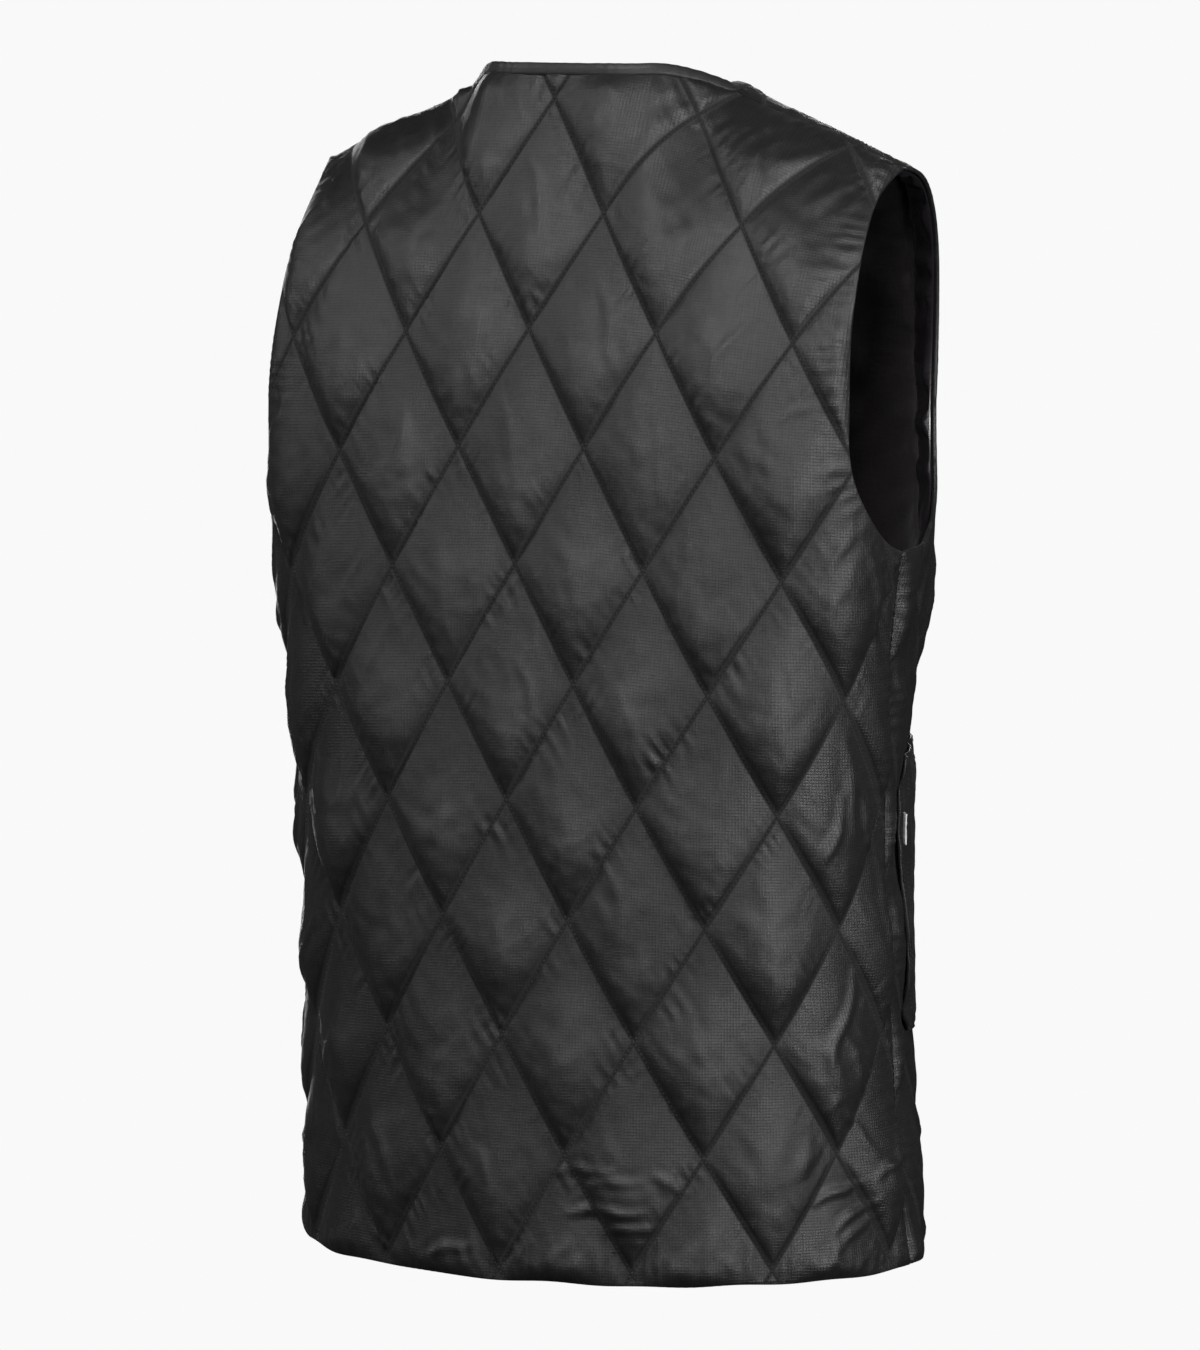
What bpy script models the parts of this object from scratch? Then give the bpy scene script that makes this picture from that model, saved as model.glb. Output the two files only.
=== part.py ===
"""Sleeveless quilted vest, standing filled out as it is worn.

Metres, +Z up. The front of the vest faces -Y and its left side, as worn, is +X.
The origin is the middle of the shoulder line, at the foot of the neck.

Every cloth piece is cut flat first and then laid on the worn form. Flat places are
written (u, v): u is the distance round the body from the middle of the back or of the
front, and v runs down the cloth from the level of the origin.
"""
import math

import bmesh
import bpy
import numpy as np

# cloth
WALL = 0.0020          # shell, padding and backing pressed together at a stitch line
PUFF = 0.0062          # how far the padding lifts the shell between the stitch lines
LINING = 0.0011
LINING_GAP = 0.0009    # between the panels and the cloth under them
GAP = 0.0003
SEAM = 0.00015         # each side of a seam stays this far from its line

# quilting
QUILT_W = 0.083        # width of one diamond
QUILT_H = 0.140        # height of one diamond
QUILT_U = 0.0066       # where the middle column of crossings stands
QUILT_V = 0.001        # where the first row of crossings lies
QUILT_TILT = 0.012     # the rows climb a little towards the right side
QUILT_CELLS = 3        # small cells to half a diamond
EDGE_PRESS = 0.016     # the padding thins out over this width at seams and edges

# closure and edges
LAP = 0.012            # each front passes the middle by this much
LAP_LIFT = 0.0030      # the left front lies over the right one
PLACKET = 0.030        # the front edges are stitched flat over this width
FACING = 0.018
BIND_TALL = 0.009
BIND_THICK = 0.0056
SNAP_R = 0.0062
SNAP_TALL = 0.0024
SNAP_V = (0.105, 0.240, 0.375, 0.510, 0.645)

# levels
BASE_V = 0.210         # above this level the cloth turns in over the shoulder
BASE_Z = -0.212
UNDERARM_V = 0.2625
HEM_V = 0.7075
LINING_UP = 0.014      # the lining stops this far above the hem

# level rings of the body of the vest
SECTIONS = (
    # v,    half_w, back_d, front_d, back_y, square, side_drop
    (0.210, 0.2070, 0.088, 0.137, 0.100, 3.30, 0.011),
    (0.340, 0.1890, 0.107, 0.138, 0.114, 2.90, 0.012),
    (0.460, 0.1840, 0.123, 0.142, 0.122, 2.50, 0.010),
    (0.580, 0.1860, 0.136, 0.151, 0.127, 2.20, 0.006),
    (0.720, 0.1960, 0.144, 0.161, 0.131, 2.00, -0.002),
)

# the line in which the columns of cloth end at the shoulder, and how they lean there
TOP_BACK = (
    # u,    x,     y,      z,     lean_deg
    (0.000, 0.000, 0.0470, 0.0220, 12.0),
    (0.022, 0.0218, 0.0462, 0.0219, 13.0),
    (0.050, 0.0492, 0.0370, 0.0195, 23.0),
    (0.090, 0.088, 0.002, -0.006, 50.0),
    (0.145, 0.146, -0.003, -0.029, 58.0),
    (0.210, 0.207, -0.014, -0.058, 60.0),
)
TOP_FRONT = (
    (0.000, 0.000, -0.068, -0.004, 32.0),
    (0.030, 0.030, -0.066, -0.004, 34.0),
    (0.060, 0.059, -0.045, 0.000, 56.0),
    (0.090, 0.088, 0.002, -0.006, 130.0),
)

# cut lines of the half patterns, from the neck outwards and down
BACK_NECK = (
    # u,    v
    (0.000, -0.0145), (0.020, -0.0148), (0.042, -0.0165), (0.062, -0.0212), (0.077, -0.0250),
)
FRONT_NECK = (
    (0.000, 0.0700), (0.026, 0.0660), (0.048, 0.0530), (0.065, 0.0300), (0.076, 0.0000),
    (0.083, -0.0300), (0.087, -0.0550),
)
BACK_ARMHOLE = (
    (0.1900, 0.020), (0.1870, 0.042), (0.1882, 0.075), (0.1900, 0.105), (0.1912, 0.130),
    (0.1932, 0.155), (0.1950, 0.178), (0.1962, 0.200), (0.2000, 0.218), (0.2075, 0.2330),
    (0.2190, 0.2470), (0.2340, 0.2570),
)
FRONT_ARMHOLE = (
    (0.1945, 0.025), (0.1930, 0.045), (0.1908, 0.065), (0.1880, 0.088), (0.1852, 0.115),
    (0.1838, 0.142), (0.1840, 0.168), (0.1862, 0.190), (0.1915, 0.211), (0.2010, 0.2300),
    (0.2180, 0.2480), (0.2430, 0.2590),
)
NECK_POINT_U = 0.0885
SHOULDER_TIP_U = 0.1925

# patch pockets on the fronts: places on the flat front
POCKET_IN_U = 0.075
POCKET_OUT_U = 0.236
POCKET_TOP_V = 0.388
POCKET_LOW_V = 0.565
POCKET_OPEN = 0.0034   # the hand opening stands off the front by this much
POCKET_THICK = 0.0024
LABEL_U = 0.241
LABEL_V = 0.424
LABEL_WIDE = 0.009
LABEL_TALL = 0.019
LABEL_THICK = 0.0010

GRID = 0.005
U_END = 0.32
V_TOP = -0.09
V_END = 0.76


def smooth(x, xs, ys, leaving=None):
    """a curve through the rows of a table that never overshoots them"""
    xs = np.asarray(xs, float)
    ys = np.asarray(ys, float)
    h = np.diff(xs)
    d = np.diff(ys) / h
    m = np.empty_like(ys)
    m[0] = d[0]
    m[-1] = d[-1] if leaving is None else leaving
    for k in range(1, len(xs) - 1):
        m[k] = 0.0
        if d[k - 1] * d[k] > 0.0:
            w1 = 2.0 * h[k] + h[k - 1]
            w2 = h[k] + 2.0 * h[k - 1]
            m[k] = (w1 + w2) / (w1 / d[k - 1] + w2 / d[k])
    x = np.clip(np.asarray(x, float), xs[0], xs[-1])
    k = np.clip(np.searchsorted(xs, x) - 1, 0, len(xs) - 2)
    t = (x - xs[k]) / h[k]
    near = (2 * t**3 - 3 * t**2 + 1) * ys[k] + (t**3 - 2 * t**2 + t) * h[k] * m[k]
    far = (3 * t**2 - 2 * t**3) * ys[k + 1] + (t**3 - t**2) * h[k] * m[k + 1]
    return near + far


def ease(t):
    t = np.clip(t, 0.0, 1.0)
    return t * t * (3.0 - 2.0 * t)


SEC = np.array(SECTIONS)


def section(v):
    """half of one ring, from the middle of the back round to the middle of the front"""
    row = [float(smooth(v, SEC[:, 0], SEC[:, c])) for c in range(1, 7)]
    half_w, back_d, front_d, back_y, square, drop = row
    turn = np.linspace(0.0, math.pi, 361)
    s = np.sin(turn)
    c = np.cos(turn)
    depth = np.where(c >= 0.0, back_d, front_d)
    x = half_w * np.abs(s) ** (2.0 / square)
    y = back_y - back_d + depth * np.sign(c) * np.abs(c) ** (2.0 / square)
    run = np.concatenate([[0.0], np.cumsum(np.hypot(np.diff(x), np.diff(y)))])
    return x, y, run, run[180], drop


def level_z(v):
    """the height of the middle of the back, found by walking down the cloth"""
    vs = np.linspace(BASE_V, V_END + 0.05, 120)
    y = smooth(vs, SEC[:, 0], SEC[:, 4])
    fall = np.sqrt(np.maximum(np.diff(vs) ** 2 - np.diff(y) ** 2, 1e-12))
    return float(np.interp(v, vs, BASE_Z - np.concatenate([[0.0], np.cumsum(fall)])))


def top_line(u, front):
    """where the columns of cloth end and how they lean; the shoulder seam is shared"""
    back = np.array(TOP_BACK)
    seam = np.array(TOP_FRONT)[-1, 0]
    out = []
    for c in range(1, 5):
        turn = 180.0 if front and c == 4 else 0.0
        ys = turn - back[:, c] if turn else back[:, c]
        shared = smooth(u, back[:, 0], ys)
        if front:
            pair = smooth([seam, seam + 0.0001], back[:, 0], ys)
            own = np.array(TOP_FRONT)
            mine = smooth(u, own[:, 0], own[:, c], (pair[1] - pair[0]) / 0.0001)
            shared = np.where(u < seam, mine, shared)
        out.append(shared)
    return out


def ring_points(u, v, front):
    x, y, run, side, drop = section(v)
    s = run[-1] - u if front else u
    share = np.where(s < side, s / side, (run[-1] - s) / (run[-1] - side))
    lag = drop * np.sin(0.5 * math.pi * np.clip(share, 0.0, 1.0)) ** 2
    return np.stack([np.interp(s, run, x), np.interp(s, run, y), level_z(v) - lag], -1)


class Form:
    """the worn surface that a flat half pattern is laid on; the other half mirrors it"""

    def __init__(self, front):
        self.us = np.arange(0.0, U_END + 1e-9, GRID)
        self.vs = np.arange(V_TOP, V_END + 1e-9, GRID)
        self.lower(front)
        self.upper(front)
        mirror = self.grid[:, 1:3][:, ::-1] * np.array([-1.0, 1.0, 1.0])
        wide = np.concatenate([mirror, self.grid], axis=1)
        nor = np.cross(np.gradient(self.grid, axis=0), np.gradient(wide, axis=1)[:, 2:])
        nor /= np.maximum(np.linalg.norm(nor, axis=2), 1e-12)[:, :, None]
        middle = nor[len(self.vs) // 2, 1, 1]
        self.nor = -nor if (middle > 0.0) == front else nor

    def lower(self, front):
        self.grid = np.zeros((len(self.vs), len(self.us), 3))
        for k, v in enumerate(self.vs):
            if v >= BASE_V - 1e-9:
                self.grid[k] = ring_points(self.us, v, front)

    def upper(self, front):
        us = self.us
        start = ring_points(us, BASE_V, front)
        rise = start - ring_points(us, BASE_V + 0.004, front)
        rise /= np.linalg.norm(rise, axis=1)[:, None]
        cu = np.clip(us, 0.0, TOP_BACK[-1][0])
        x, y, z, lean = top_line(cu, front)
        end = np.stack([x, y, z], -1)
        end[:, 0] += (us - cu) * 0.6
        end[:, 2] -= (us - cu) * 0.5
        lean = np.radians(lean)
        way = 1.0 if front else -1.0
        arrive = np.stack([0.0 * lean, way * np.sin(lean), np.cos(lean)], -1)
        reach = np.linalg.norm(end - start, axis=1)[:, None] * 0.36
        p1 = start + rise * reach
        p2 = end - arrive * reach
        w = np.linspace(0.0, 1.0, 41)[:, None, None]
        col = (1 - w)**3 * start + 3 * (1 - w)**2 * w * p1 + 3 * (1 - w) * w**2 * p2 + w**3 * end
        seg = np.linalg.norm(np.diff(col, axis=0), axis=2)
        run = np.concatenate([np.zeros((1, len(us))), np.cumsum(seg, axis=0)])
        self.top_v = BASE_V - run[-1]
        for c in range(len(us)):
            for k, v in enumerate(self.vs):
                d = BASE_V - v
                if d > 1e-9:
                    at = [np.interp(d, run[:, c], col[:, c, a]) for a in range(3)]
                    past = max(0.0, d - run[-1, c])
                    self.grid[k, c] = np.array(at) + arrive[c] * past

    def place(self, u, v, w):
        """from flat places and heights off the cloth to the worn form"""
        u = np.asarray(u, float)
        v = np.asarray(v, float)
        au = np.abs(u) / GRID
        av = (v - V_TOP) / GRID
        i = np.clip(au.astype(int), 0, len(self.us) - 2)
        j = np.clip(av.astype(int), 0, len(self.vs) - 2)
        fu = (au - i)[..., None]
        fv = (av - j)[..., None]

        def pick(g):
            near = (1 - fu) * g[j, i] + fu * g[j, i + 1]
            far = (1 - fu) * g[j + 1, i] + fu * g[j + 1, i + 1]
            return (1 - fv) * near + fv * far

        one = np.ones_like(u)
        flip = np.stack([np.where(u < 0.0, -one, one), one, one], -1)
        nor = pick(self.nor)
        nor = nor / np.linalg.norm(nor, axis=-1)[..., None]
        return (pick(self.grid) + np.asarray(w)[..., None] * nor) * flip

    def top(self, u):
        return float(np.interp(abs(u), self.us, self.top_v))


BACK = Form(False)
FRONT = Form(True)


def side_u(v, front):
    """flat distance from the middle to the side seam"""
    run, side = section(max(v, BASE_V))[2:4]
    return float(run[-1] - side) if front else float(side)


def shoulder_line(form, start, end):
    """the cut line along the shoulder seam, with a point at every column of the form"""
    between = [u for u in form.us if start + 0.001 < u < end - 0.001]
    return [(u, form.top(u) + SEAM) for u in [start] + between + [end]]


def half_outline(front, inset, hem_v, neck_in):
    """the cut line of a half pattern, from the middle of the neck round to the hem"""
    form = FRONT if front else BACK
    neck = FRONT_NECK if front else BACK_NECK
    armhole = FRONT_ARMHOLE if front else BACK_ARMHOLE
    pts = [(u, v + neck_in) for u, v in neck]
    pts += shoulder_line(form, NECK_POINT_U + neck_in, SHOULDER_TIP_U - inset)
    pts += [(u - inset, v + inset * ease((v - 0.19) / 0.06)) for u, v in armhole]
    for v in np.linspace(UNDERARM_V + inset, hem_v, 22):
        pts.append((side_u(v, front) - SEAM, v))
    return pts


# flat cut lines
def back_outline(inset=0.0, hem_v=HEM_V, neck_in=0.0):
    right = half_outline(False, inset, hem_v, neck_in)
    left = [(-u, v) for u, v in reversed(right[1:])]
    return left + right


def front_outline(side, inset=0.0, hem_v=HEM_V, neck_in=0.0, lap=LAP):
    half = half_outline(True, inset, hem_v, neck_in)
    pts = [(-lap, half[0][1])] + half + [(-lap, hem_v)]
    return [(side * u, v) for u, v in pts]


def armhole_band(front, side):
    """the cut line of the facing that follows one half of an armhole"""
    form = FRONT if front else BACK
    line = list(FRONT_ARMHOLE if front else BACK_ARMHOLE)
    edge = 0.0012
    outer = [(u - edge, v + edge * ease((v - 0.19) / 0.06)) for u, v in line]
    for v in np.linspace(UNDERARM_V + edge, UNDERARM_V + FACING, 3):
        outer.append((side_u(v, front) - SEAM, v))
    inner = [(u - FACING, v + FACING * ease((v - 0.19) / 0.06)) for u, v in line]
    seam = shoulder_line(form, SHOULDER_TIP_U - FACING, SHOULDER_TIP_U - edge)
    return [(side * u, v) for u, v in seam + outer + inner[::-1]]


def lattice(u, v):
    """how far along each family of stitch lines a flat place lies, in diamonds"""
    p = (u - QUILT_U) / (0.5 * QUILT_W)
    q = (v - QUILT_V - QUILT_TILT * u) / (0.5 * QUILT_H)
    return 0.5 * (p - q), 0.5 * (p + q)


class Net:
    """flat nodes in columns and rows, with one long side across every cell"""

    def __init__(self, us, vs, tilt, block):
        self.us = np.asarray(us)
        self.vs = np.asarray(vs)
        self.tilt = tilt
        self.block = block

    def node(self, a, b):
        return self.us[a], self.vs[b] + self.tilt * self.us[a]

    def falls(self, a, b):
        """whether the long side of a cell runs down from its first corner"""
        return (a // self.block + b // self.block) % 2 == 0

    def skin(self, form, u, v, height):
        """places on the faceted skin that the nodes span"""
        row = v - self.tilt * u
        a = np.clip(np.searchsorted(self.us, u + 1e-9) - 1, 0, len(self.us) - 2)
        b = np.clip(np.searchsorted(self.vs, row + 1e-9) - 1, 0, len(self.vs) - 2)
        s = np.clip((u - self.us[a]) / (self.us[a + 1] - self.us[a]), 0.0, 1.0)
        t = np.clip((row - self.vs[b]) / (self.vs[b + 1] - self.vs[b]), 0.0, 1.0)
        falls = self.falls(a, b)
        share = {}
        share[0, 0] = np.where(falls, 1 - np.maximum(s, t), np.maximum(1 - s - t, 0.0))
        share[1, 1] = np.where(falls, np.minimum(s, t), np.maximum(s + t - 1, 0.0))
        share[1, 0] = np.where(falls, np.maximum(s - t, 0.0), 1 - np.maximum(t, 1 - s))
        share[0, 1] = np.where(falls, np.maximum(t - s, 0.0), 1 - np.maximum(s, 1 - t))
        total = 0.0
        for (da, db), part in share.items():
            cu, cv = self.node(a + da, b + db)
            total = total + part[..., None] * form.place(cu, cv, height(cu, cv))
        return total

    def plate(self, bm, outline, z, up):
        """one side of a flat plate that reaches past the outline all round"""
        us = [p[0] for p in outline]
        vs = [p[1] - self.tilt * p[0] for p in outline]
        a0 = int(np.searchsorted(self.us, min(us))) - 2
        a1 = int(np.searchsorted(self.us, max(us))) + 1
        b0 = int(np.searchsorted(self.vs, min(vs))) - 2
        b1 = int(np.searchsorted(self.vs, max(vs))) + 1
        nodes = {}
        for a in range(a0, a1 + 1):
            for b in range(b0, b1 + 1):
                u, v = self.node(a, b)
                nodes[a, b] = bm.verts.new((u, -v, z))
        for a in range(a0, a1):
            for b in range(b0, b1):
                c = [nodes[a, b], nodes[a + 1, b], nodes[a + 1, b + 1], nodes[a, b + 1]]
                if self.falls(a, b):
                    tris = ((c[0], c[2], c[1]), (c[0], c[3], c[2]))
                else:
                    tris = ((c[0], c[3], c[1]), (c[1], c[3], c[2]))
                for tri in tris:
                    bm.faces.new(tri if up else tri[::-1])
        ring = [nodes[a, b0] for a in range(a0, a1 + 1)]
        ring += [nodes[a1, b] for b in range(b0 + 1, b1 + 1)]
        ring += [nodes[a, b1] for a in range(a1 - 1, a0 - 1, -1)]
        ring += [nodes[a0, b] for b in range(b1 - 1, b0, -1)]
        return ring, (0, a1 - a0, a1 - a0 + b1 - b0, 2 * (a1 - a0) + b1 - b0)


QUILT_COLS = np.arange(-10 * QUILT_CELLS, 10 * QUILT_CELLS + 1) * 0.5 * QUILT_W / QUILT_CELLS
QUILT_ROWS = np.arange(-4 * QUILT_CELLS, 13 * QUILT_CELLS + 1) * 0.5 * QUILT_H / QUILT_CELLS
OUTSIDE = Net(QUILT_U + QUILT_COLS, QUILT_V + QUILT_ROWS, QUILT_TILT, QUILT_CELLS)
INNER_ROWS = np.concatenate([np.arange(-0.162, 0.028, 0.012), np.arange(0.030, 0.200, 0.024),
                             np.linspace(0.222, 0.862, 9)])
INSIDE = Net(np.linspace(-0.396, 0.396, 33), INNER_ROWS, 0.0, 1)


def edge_distance(u, v, outline):
    """distance from flat places to the nearest part of a cut line"""
    pts = np.array(outline + outline[:1])
    best = np.full(np.shape(u), 1.0)
    for a, b in zip(pts[:-1], pts[1:]):
        d = b - a
        size = float(d @ d)
        if size < 1e-12:
            continue
        t = np.clip(((u - a[0]) * d[0] + (v - a[1]) * d[1]) / size, 0.0, 1.0)
        best = np.minimum(best, np.hypot(u - a[0] - t * d[0], v - a[1] - t * d[1]))
    return best


def puff(u, v, outline):
    """height of the padded shell over the stitch lines"""
    a, b = lattice(u, v)
    swell = np.abs(np.sin(math.pi * a) * np.sin(math.pi * b)) ** 0.62
    return PUFF * swell * ease(edge_distance(u, v, outline) / EDGE_PRESS)


def flat_piece(outline, outer, inner):
    """cut a flat plate to an outline, its top on one net and its underside on another"""
    bm = bmesh.new()
    top, top_at = outer.plate(bm, outline, 0.01, True)
    low, low_at = inner.plate(bm, outline, 0.0, False)
    for k in range(4):
        ends = (top_at + (len(top),))[k:k + 2], (low_at + (len(low),))[k:k + 2]
        upper = [top[n % len(top)] for n in range(ends[0][0], ends[0][1] + 1)]
        under = [low[n % len(low)] for n in range(ends[1][0], ends[1][1] + 1)]
        bm.faces.new(upper + under[::-1])
    bmesh.ops.triangulate(bm, faces=[f for f in bm.faces if len(f.verts) > 3])
    bmesh.ops.recalc_face_normals(bm, faces=bm.faces)
    sheet = bpy.data.meshes.new("sheet")
    bm.to_mesh(sheet)
    bm.free()

    bm = bmesh.new()
    low = [bm.verts.new((u, -v, -0.01)) for u, v in outline]
    top = [bm.verts.new((u, -v, 0.02)) for u, v in outline]
    bm.faces.new(low)
    bm.faces.new(top[::-1])
    for k in range(len(low)):
        n = (k + 1) % len(low)
        bm.faces.new((low[k], top[k], top[n], low[n]))
    bmesh.ops.recalc_face_normals(bm, faces=bm.faces)
    knife = bpy.data.meshes.new("knife")
    bm.to_mesh(knife)
    bm.free()

    work = bpy.data.objects.new("cut_sheet", sheet)
    tool = bpy.data.objects.new("cut_outline", knife)
    for ob in (work, tool):
        bpy.context.scene.collection.objects.link(ob)
    mod = work.modifiers.new("cut", "BOOLEAN")
    mod.operation = "INTERSECT"
    mod.solver = "EXACT"
    mod.object = tool
    bpy.context.view_layer.update()
    seen = work.evaluated_get(bpy.context.evaluated_depsgraph_get())
    cut = bpy.data.meshes.new_from_object(seen)
    for ob in (work, tool):
        bpy.data.objects.remove(ob, do_unlink=True)
    bm = bmesh.new()
    bm.from_mesh(cut)
    bmesh.ops.remove_doubles(bm, verts=bm.verts, dist=0.00008)
    bmesh.ops.triangulate(bm, faces=bm.faces)
    return bm


def near_seam(form, u, v):
    """one on a side or shoulder seam, easing to nothing a little way off it"""
    front = form is FRONT
    side = np.array([side_u(x, front) for x in v])
    top = np.interp(np.abs(u), form.us, form.top_v)
    away = np.minimum(np.abs(side - np.abs(u)), np.abs(top - v))
    return 1.0 - ease((away - 2.0 * SEAM) / 0.012)


def wrap(bm, form, outer, inner, outer_net, inner_net):
    """lay a cut plate on the worn form; seam edges take their places off the facets"""
    bm.verts.ensure_lookup_table()
    flat = np.array([tuple(v.co) for v in bm.verts])
    u = flat[:, 0]
    v = -flat[:, 1]
    top = flat[:, 2] > 0.005
    facet = np.where(top[:, None], outer_net.skin(form, u, v, outer),
                     inner_net.skin(form, u, v, inner))
    true = form.place(u, v, np.where(top, outer(u, v), inner(u, v)))
    place = facet + (true - facet) * near_seam(form, u, v)[:, None]
    for vert, p in zip(bm.verts, place):
        vert.co = p


def material(name, colour, rough, sheen=0.0):
    mat = bpy.data.materials.new(name)
    mat.use_nodes = True
    shader = mat.node_tree.nodes["Principled BSDF"]
    shader.inputs["Base Color"].default_value = (*colour, 1.0)
    shader.inputs["Roughness"].default_value = rough
    shader.inputs["Sheen Weight"].default_value = sheen
    mat.diffuse_color = (*colour, 1.0)
    return mat


def finish(name, bm, mat, smooth_angle=None):
    """a closed body with outward normals, as one named part"""
    bmesh.ops.recalc_face_normals(bm, faces=bm.faces)
    if bm.calc_volume(signed=True) < 0.0:
        bmesh.ops.reverse_faces(bm, faces=bm.faces)
    mesh = bpy.data.meshes.new(name)
    bm.to_mesh(mesh)
    bm.free()
    mesh.polygons.foreach_set("use_smooth", [True] * len(mesh.polygons))
    if smooth_angle is not None:
        mesh.set_sharp_from_angle(angle=math.radians(smooth_angle))
    mesh.materials.append(mat)
    ob = bpy.data.objects.new(name, mesh)
    PARTS.objects.link(ob)
    return ob


def lap_lift(u, side):
    """the left front lies over the right one where they pass the middle"""
    if side < 0.0:
        return 0.0 * u
    return LAP_LIFT * (1.0 - ease((u - PLACKET) / 0.020))


def quilted(name, form, outline, mat, side=0.0):
    """a padded panel, quilted outside and plain inside"""

    def lift(u, v):
        return lap_lift(u, side) if side else 0.0 * u

    def outer(u, v):
        flat = ease((side * u - PLACKET) / 0.012) if side else 1.0
        return lift(u, v) + WALL + puff(u, v, outline) * flat

    bm = flat_piece(outline, OUTSIDE, INSIDE)
    wrap(bm, form, outer, lift, OUTSIDE, INSIDE)
    finish(name, bm, mat, 50.0)
    return outer


def backing(name, form, outline, mat):
    """thin cloth lying close under the inside of a panel"""
    bm = flat_piece(outline, INSIDE, INSIDE)

    def under(u, v):
        return 0.0 * u - LINING_GAP - LINING

    wrap(bm, form, lambda u, v: 0.0 * u - LINING_GAP, under, INSIDE, INSIDE)
    finish(name, bm, mat, 50.0)


def strip(rings):
    """a bar with closed ends through a row of sections"""
    bm = bmesh.new()
    loops = [[bm.verts.new(tuple(p)) for p in ring] for ring in rings]
    n = len(loops[0])
    for a, b in zip(loops[:-1], loops[1:]):
        for k in range(n):
            m = (k + 1) % n
            bm.faces.new((a[k], a[m], b[m], b[k]))
    bm.faces.new(loops[0])
    bm.faces.new(loops[-1][::-1])
    bmesh.ops.recalc_face_normals(bm, faces=bm.faces)
    bmesh.ops.triangulate(bm, faces=bm.faces)
    return bm


def resample(points, count):
    points = np.array(points, float)
    run = np.concatenate([[0.0], np.cumsum(np.linalg.norm(np.diff(points, axis=0), axis=1))])
    at = np.linspace(0.0, run[-1], count)
    return np.stack([np.interp(at, run, points[:, k]) for k in range(points.shape[1])], -1)


def neck_line():
    """the worn neck edge and its outward normals, from the right front round to the left"""
    neck_end = (NECK_POINT_U - 0.002, BACK.top(NECK_POINT_U) + 0.0004)
    back = resample(list(BACK_NECK) + [neck_end], 15)
    rows = []
    for side in (-1.0, 1.0):
        half = []
        mid = WALL * 0.5
        start = -LAP if side > 0.0 else LAP + 10.0 * GAP
        level = np.interp(start, [p[0] for p in FRONT_NECK], [p[1] for p in FRONT_NECK])
        front = [(start, level)] + list(FRONT_NECK)[1 if side < 0.0 else 0:]
        front = resample(front + [(NECK_POINT_U, FRONT.top(NECK_POINT_U) + 0.004)], 24)
        for u, v in front:
            lift = lap_lift(np.array(u), side)
            half.append((FRONT, side * u, v, mid + float(lift)))
        for u, v in back[::-1]:
            half.append((BACK, side * u, v, mid))
        rows += half if side < 0.0 else half[-2::-1]
    edge = np.array([form.place(u, v, w) for form, u, v, w in rows])
    nor = np.array([form.place(u, v, w + 0.001) for form, u, v, w in rows]) - edge
    return edge, nor


def binding(name, mat):
    """a folded band that stands on the neck edge"""
    edge, nor = neck_line()
    count = 61
    both = resample(np.concatenate([edge, nor * 1e-6], axis=1), count)
    edge = both[:, :3]
    nor = both[:, 3:] * 1e9
    for lap in range(4):
        mid = (edge[:-2] + 2.0 * edge[1:-1] + edge[2:]) * 0.25
        nor[1:-1] = (nor[:-2] + nor[1:-1] + nor[2:]) / 3.0
        if lap < 1:
            edge[1:-1] = mid
    run = np.gradient(edge, axis=0)
    run /= np.linalg.norm(run, axis=1)[:, None]
    nor -= (nor * run).sum(1)[:, None] * run
    nor /= np.linalg.norm(nor, axis=1)[:, None]
    away = np.cross(nor, run)
    if away[count // 2, 2] < 0.0:
        away = -away
    shape = []
    for deg in range(0, 360, 60):
        c = math.cos(math.radians(deg + 30.0))
        s = math.sin(math.radians(deg + 30.0))
        x = math.copysign(abs(c) ** 0.55, c) * BIND_THICK * 0.5
        y = math.copysign(abs(s) ** 0.55, s) * BIND_TALL * 0.5
        shape.append((x, y + BIND_TALL * 0.5 + GAP + 0.0003))
    rings = [[e + n * x + a * y for x, y in shape] for e, n, a in zip(edge, nor, away)]
    finish(name, strip(rings), mat, 60.0)


def snap(name, v, lift, mat):
    """the round cap of a press fastener on the left front"""
    centre = FRONT.place(np.array(0.0), np.array(v), np.array(lift))
    out = FRONT.place(np.array(0.0), np.array(v), np.array(lift + 0.001)) - centre
    out /= np.linalg.norm(out)
    side = np.array([1.0, 0.0, 0.0])
    side -= out * side.dot(out)
    side /= np.linalg.norm(side)
    up = np.cross(out, side)
    bm = bmesh.new()
    rows = ((0.90, 0.0), (1.0, 0.0006), (0.94, 0.0014), (0.55, SNAP_TALL))
    loops = []
    for share, tall in rows:
        ring = []
        for k in range(14):
            a = 2.0 * math.pi * k / 14
            p = centre + out * tall + (side * math.cos(a) + up * math.sin(a)) * SNAP_R * share
            ring.append(bm.verts.new(tuple(p)))
        loops.append(ring)
    for a, b in zip(loops[:-1], loops[1:]):
        for k in range(14):
            m = (k + 1) % 14
            bm.faces.new((a[k], a[m], b[m], b[k]))
    bm.faces.new(loops[0][::-1])
    bm.faces.new(loops[-1])
    bmesh.ops.triangulate(bm, faces=bm.faces)
    finish(name, bm, mat, 40.0)


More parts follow.
